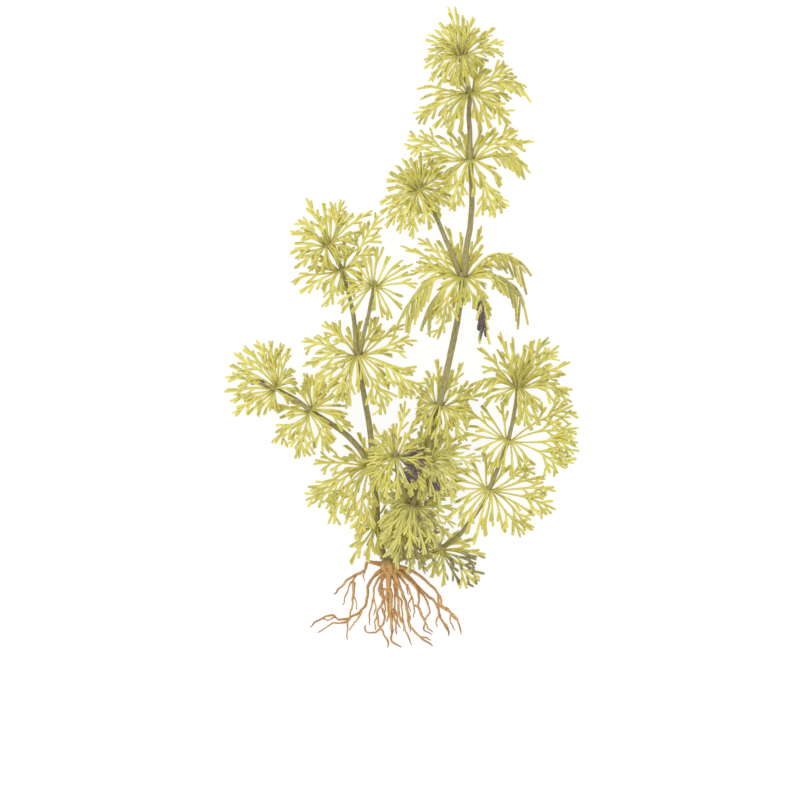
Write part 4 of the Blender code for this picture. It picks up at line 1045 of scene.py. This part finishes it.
def add_bud(cage, middle, direction, bud, marks, dice):
    """Short young leaves round the growing tip, most of them pointing past it."""
    left, up = side_and_top(direction)
    for place in range(bud.count):
        turn = tau * (place + dice.uniform(-BUD_JITTER, BUD_JITTER)) / bud.count
        out = (left * cos(turn) + up * sin(turn)).normalized()
        length = dice.uniform(bud.shortest, bud.longest)
        spread = dice.uniform(LEAST_SPREAD, bud.spread)
        start = middle + direction * dice.uniform(-bud.below, BUD_ABOVE) + out * dice.uniform(*BUD_OUT)
        paint = Paint(dice.random(), dice.random())
        stations = []
        for part, wide in BUD_SECTIONS:
            way = (direction + out * spread * (BUD_LEAN + part)).normalized()
            spot = start + way * length * part
            spot.z = max(spot.z, LEAF_REST)
            stations.append(Station(spot, way, 0.0, BUD_HALF_WIDTH * wide, BUD_THICK, BUD_AGE * part))
        cage.plant(stations[0], Branch(stations[1:], {}, paint), out, marks)


def stain_marks(name, middle, core):
    """A function from a place and its lobe's chance to its purple, dark and core marks."""
    purple = [stain for stain in PURPLE_STAINS if stain.whorl == name]
    dark = [stain for stain in DARK_STAINS if stain.whorl == name]

    def strength(stains, place, chance):
        away = place - middle
        distance = hypot(away.x, away.y)
        bearing = degrees(atan2(away.y, away.x))
        for stain in stains:
            inside = stain.near < distance < stain.far and chance < stain.share
            if inside and 0.0 <= (bearing - stain.first) % 360.0 <= stain.last - stain.first:
                return stain.strength
        return 0.0

    def marks(place, chance):
        return (strength(purple, place, chance), strength(dark, place, chance), core, 1.0)

    return marks


def reach_near(leaves, bearing):
    """The reach of the leaf that is nearest to a bearing."""
    return min(leaves, key=lambda leaf: abs((leaf[0] - bearing + 180.0) % 360.0 - 180.0))[1]


def inner_leaves(leaves, style, dice):
    """Short young leaves between the others, as many as the style has."""
    turn = dice.uniform(0.0, 360.0)
    found = []
    for place in range(style.inner):
        bearing = turn + 360.0 * (place + dice.uniform(-BUD_JITTER, BUD_JITTER)) / style.inner
        longest = min(INNER_LONGEST, INNER_SHARE * reach_near(leaves, bearing))
        found.append((bearing, dice.uniform(min(INNER_SHORTEST, longest), longest), INNER_FAN))
    return found


def whorl_piece(name, material):
    whorl = WHORLS[name]
    style = whorl.style
    dice = random.Random(name)
    middle, direction, radius = whorl_frame(whorl)
    marks = stain_marks(name, middle, 0.0)
    cage = Cage()
    for number, leaf in enumerate((*whorl.leaves, *inner_leaves(whorl.leaves, style, dice))):
        shape = LeafShape(middle, direction, radius, leaf, number, dice.uniform(-LEAF_SWAY, LEAF_SWAY))
        branch = leaf_branch(shape, style, dice)
        along = (shape.start - shape.inside).normalized()
        foot = Station(shape.inside, along, 0.0, style.rib * LEAF_ROOT_WIDTH, RIB_THICK, 0.0)
        cage.plant(foot, branch, shape.top, marks)
    if name in BUDS:
        add_bud(cage, middle, direction, BUDS[name], stain_marks(name, middle, 1.0), dice)
    cage.finish(f"{name}_leaves", material, 1, name)


# Stems, roots and crown

def add_tube(cage, curve, sides, reach_of, paint_of, mark_of):
    """A closed tube. Functions give its radius and paint at a point and angle, and its mark at a spot."""
    rings = []
    for index, (place, way) in enumerate(zip(curve, directions(curve))):
        left, top = side_and_top(way)
        ring = []
        for corner in range(sides):
            angle = tau * corner / sides
            spot = place + reach_of(index, angle) * (cos(angle) * left + sin(angle) * top)
            ring.append(cage.point(spot, paint_of(index, angle), mark_of(spot)))
        rings.append(ring)
    for near, far in zip(rings, rings[1:]):
        for corner in range(sides):
            after = (corner + 1) % sides
            cage.faces.append((near[corner], near[after], far[after], far[corner]))
    cage.faces += [tuple(rings[0]), tuple(rings[-1])]


def stem_marks(place):
    """Purple brown patches low on the main stem, on the middle branch and along the left top stem."""
    for low, high, strength in STEM_STAINS:
        if low[0] < place.x < high[0] and low[1] < place.y < high[1]:
            return (strength, 0.0, 0.0, 1.0)
    return NO_MARK


def stem_piece(name, material):
    stem = STEMS[name]
    dice = random.Random(name)
    curve = smooth_route(stem.route, STEM_STEPS)
    radii = [radius_at(stem, index, len(curve)) for index in range(len(curve))]
    radii = [radii[0], *radii, radii[-1] * STEM_TIP_SHARE]
    ways = directions(curve)
    curve = [curve[0] - ways[0] * STEM_ROOT_RUN, *curve, curve[-1] + ways[-1] * STEM_TIP_RUN]
    lengths = run_lengths(curve)
    nodes = [whorl_frame(whorl)[0] for whorl in WHORLS.values() if whorl.stem == name]
    swells = [sum(exp(-((place - node).length / NODE_LENGTH) ** 2) for node in nodes)
              for place in curve]
    turns = [dice.uniform(0.0, tau) for _ in range(3)]

    def reach(index, angle):
        ripple = 1.0 + STEM_RIDGE * sin(3.0 * angle + turns[0] + lengths[index] * 0.06)
        ripple += STEM_WAVER * sin(lengths[index] * 0.7 + turns[1]) * sin(angle + turns[2])
        return radii[index] * ripple * (1.0 + NODE_SWELL * swells[index])

    def paint(index, angle):
        return (0.5 + 0.5 * cos(angle), 0.5 + 0.5 * sin(angle), lengths[index] * STREAK_STRETCH,
                min(1.0, swells[index]))

    cage = Cage()
    add_tube(cage, curve, STEM_SIDES, reach, paint, stem_marks)
    cage.finish(f"{name}_skin", material, 0, name)


def crown_socket(bearing, rise):
    """A point a little inside the crown's surface, on the way out to a root."""
    around = radians(bearing)
    up = radians(rise)
    out = Vector((cos(around) * cos(up), sin(around) * cos(up), sin(up)))
    return CROWN_MIDDLE + CROWN_HALF * out - out * ROOT_RUN_IN


def add_strand(cage, points, radius, tip_radius, flare, dice):
    """A kinked and knotted root along the points. It lies on the surface where it is low enough."""
    curve = smooth_route(points, ROOT_STEPS)
    lengths = run_lengths(curve)
    phases = [dice.uniform(0.0, tau) for _ in range(5)]
    hue = dice.random()
    kinked = []
    radii = []
    for place, length in zip(curve, lengths):
        part = length / lengths[-1]
        sway = Vector((sin(length * 1.1 + phases[0]) + 0.6 * sin(length * 2.3 + phases[1]),
                       sin(length * 1.3 + phases[2]) + 0.6 * sin(length * 2.9 + phases[3]), 0.0))
        knot = 1.0 + ROOT_KNOT * sin(length * 1.9 + phases[4]) * sin(length * 0.8 + phases[1])
        pointed = min(1.0, ROOT_END * (1.0 - part) + ROOT_POINT)
        size = (radius + (tip_radius - radius) * part) * knot * pointed
        size *= ROOT_FULLNESS * (1.0 + flare * max(0.0, 1.0 - length / FLARE_LENGTH))
        moved = place + sway * (min(1.0, 4.0 * part) * ROOT_KINK)
        moved.z = max(moved.z, size)
        kinked.append(moved)
        radii.append(size)

    def reach(index, angle):
        return radii[index] * (1.0 + ROOT_OVAL * sin(2.0 * angle + lengths[index] * 0.9 + phases[0]))

    def paint(index, angle):
        return (lengths[index] / lengths[-1], 0.5 + 0.5 * cos(angle), hue, 1.0)

    add_tube(cage, kinked, ROOT_SIDES, reach, paint, lambda spot: NO_MARK)


def root_piece(name, material):
    """A main root and its rootlets."""
    root = ROOTS[name]
    dice = random.Random(name)
    cage = Cage()
    route = root.route
    if root.bearing is not None:
        route = (tuple(crown_socket(root.bearing, root.rise)), *route)
    add_strand(cage, route, root.radius, root.radius * ROOT_TIP_SHARE, ROOT_FLARE, dice)
    for rise, radius, spots in root.rootlets:
        last = len(spots) - 1
        points = [(*spot, rise * (1.0 - place / last) ** 2 + radius) for place, spot in enumerate(spots)]
        add_strand(cage, points, radius, radius * ROOTLET_TIP_SHARE, 0.0, dice)
    cage.finish(f"{name}_strands", material, 1, name)


def crown_piece(material):
    """An uneven lump, ridged where the roots run out of it and olive where the stems do."""
    cage = Cage()
    work = bmesh.new()
    bmesh.ops.create_icosphere(work, subdivisions=CROWN_DETAIL, radius=1.0)
    for vertex in work.verts:
        out = vertex.co.normalized()
        wave = sin(5.0 * out.x + 2.0 * out.z) * cos(4.0 * out.y)
        ridge = sin(CROWN_RIDGES * atan2(out.x, out.z) + 3.0 * out.y)
        lumps = noise_at(out * CROWN_LUMP_SIZE)
        size = 1.0 + CROWN_BUMP * wave + CROWN_RIDGE * ridge * (1.0 - out.y * out.y) + CROWN_LUMP * lumps
        paint = (0.5, 0.5 + 0.5 * ridge, 0.5 + 0.5 * lumps, 1.0)
        green = min(1.0, max(0.0, (out.y - CROWN_GREEN_FROM) / CROWN_GREEN_RUN))
        cage.point(CROWN_MIDDLE + CROWN_HALF * out * size, paint, (green, 0.0, 0.0, 1.0))
    cage.faces = [tuple(vertex.index for vertex in face.verts) for face in work.faces]
    work.free()
    cage.finish("crown_lump", material, 0, "root_crown")


# Camera, light and floor

def add_camera():
    data = bpy.data.cameras.new("camera")
    data.lens = LENS_MM
    data.sensor_width = SENSOR_MM
    camera = add_object("camera", data)
    camera.location = (PICTURE_MIDDLE + UP * (PICTURE_WIDTH * LENS_MM / SENSOR_MM)) * MM
    camera.rotation_euler = (0.0, 0.0, 0.0)
    bpy.context.scene.camera = camera


def add_studio():
    """White light from all sides, one soft lamp that aims at the plant, and a pale floor."""
    world = bpy.data.worlds.new("studio")
    world.use_nodes = True
    sky = world.node_tree.nodes["Background"]
    sky.inputs["Color"].default_value = WHITE
    sky.inputs["Strength"].default_value = 1.0
    bpy.context.scene.world = world
    bpy.context.scene.view_settings.view_transform = "Standard"
    data = bpy.data.lights.new("key", "AREA")
    data.shape = "DISK"
    data.size = LIGHT_WIDTH
    data.energy = LIGHT_POWER
    lamp = add_object("key", data)
    lamp.location = LIGHT_PLACE
    lamp.rotation_euler = (-LIGHT_PLACE).to_track_quat("-Z", "Y").to_euler()
    mesh = bpy.data.meshes.new("floor")
    corners = [(x * FLOOR_HALF, y * FLOOR_HALF, 0.0) for x, y in ((-1, -1), (1, -1), (1, 1), (-1, 1))]
    mesh.from_pydata(corners, [], [(0, 1, 2, 3)])
    mesh.materials.append(floor_material())
    add_object("floor", mesh)


add_camera()
add_studio()
leaf_finish = leaf_material("leaf_green", LEAF_LIGHT, LEAF_DEEP, LEAF_OLIVE, 0.25, 0.2)
tuft_finish = leaf_material("tuft_green", LEAF_LIGHT, LEAF_DEEP, TUFT_OLIVE, 0.5, 0.25)
dense_finish = leaf_material("dense_green", DENSE_LIGHT, DENSE_DEEP, DENSE_OLIVE, 0.2, 0.7)
stem_finish = stem_material()
root_finish = root_material("root_orange", ROOT_LIGHT, ROOT_DEEP)
crown_finish = root_material("crown_brown", CROWN_LIGHT, CROWN_DEEP)
for name, whorl in WHORLS.items():
    if name.endswith("tuft"):
        whorl_piece(name, tuft_finish)
    else:
        whorl_piece(name, dense_finish if whorl.style is DENSE else leaf_finish)
for name in STEMS:
    stem_piece(name, stem_finish)
for name in ROOTS:
    root_piece(name, root_finish)
crown_piece(crown_finish)
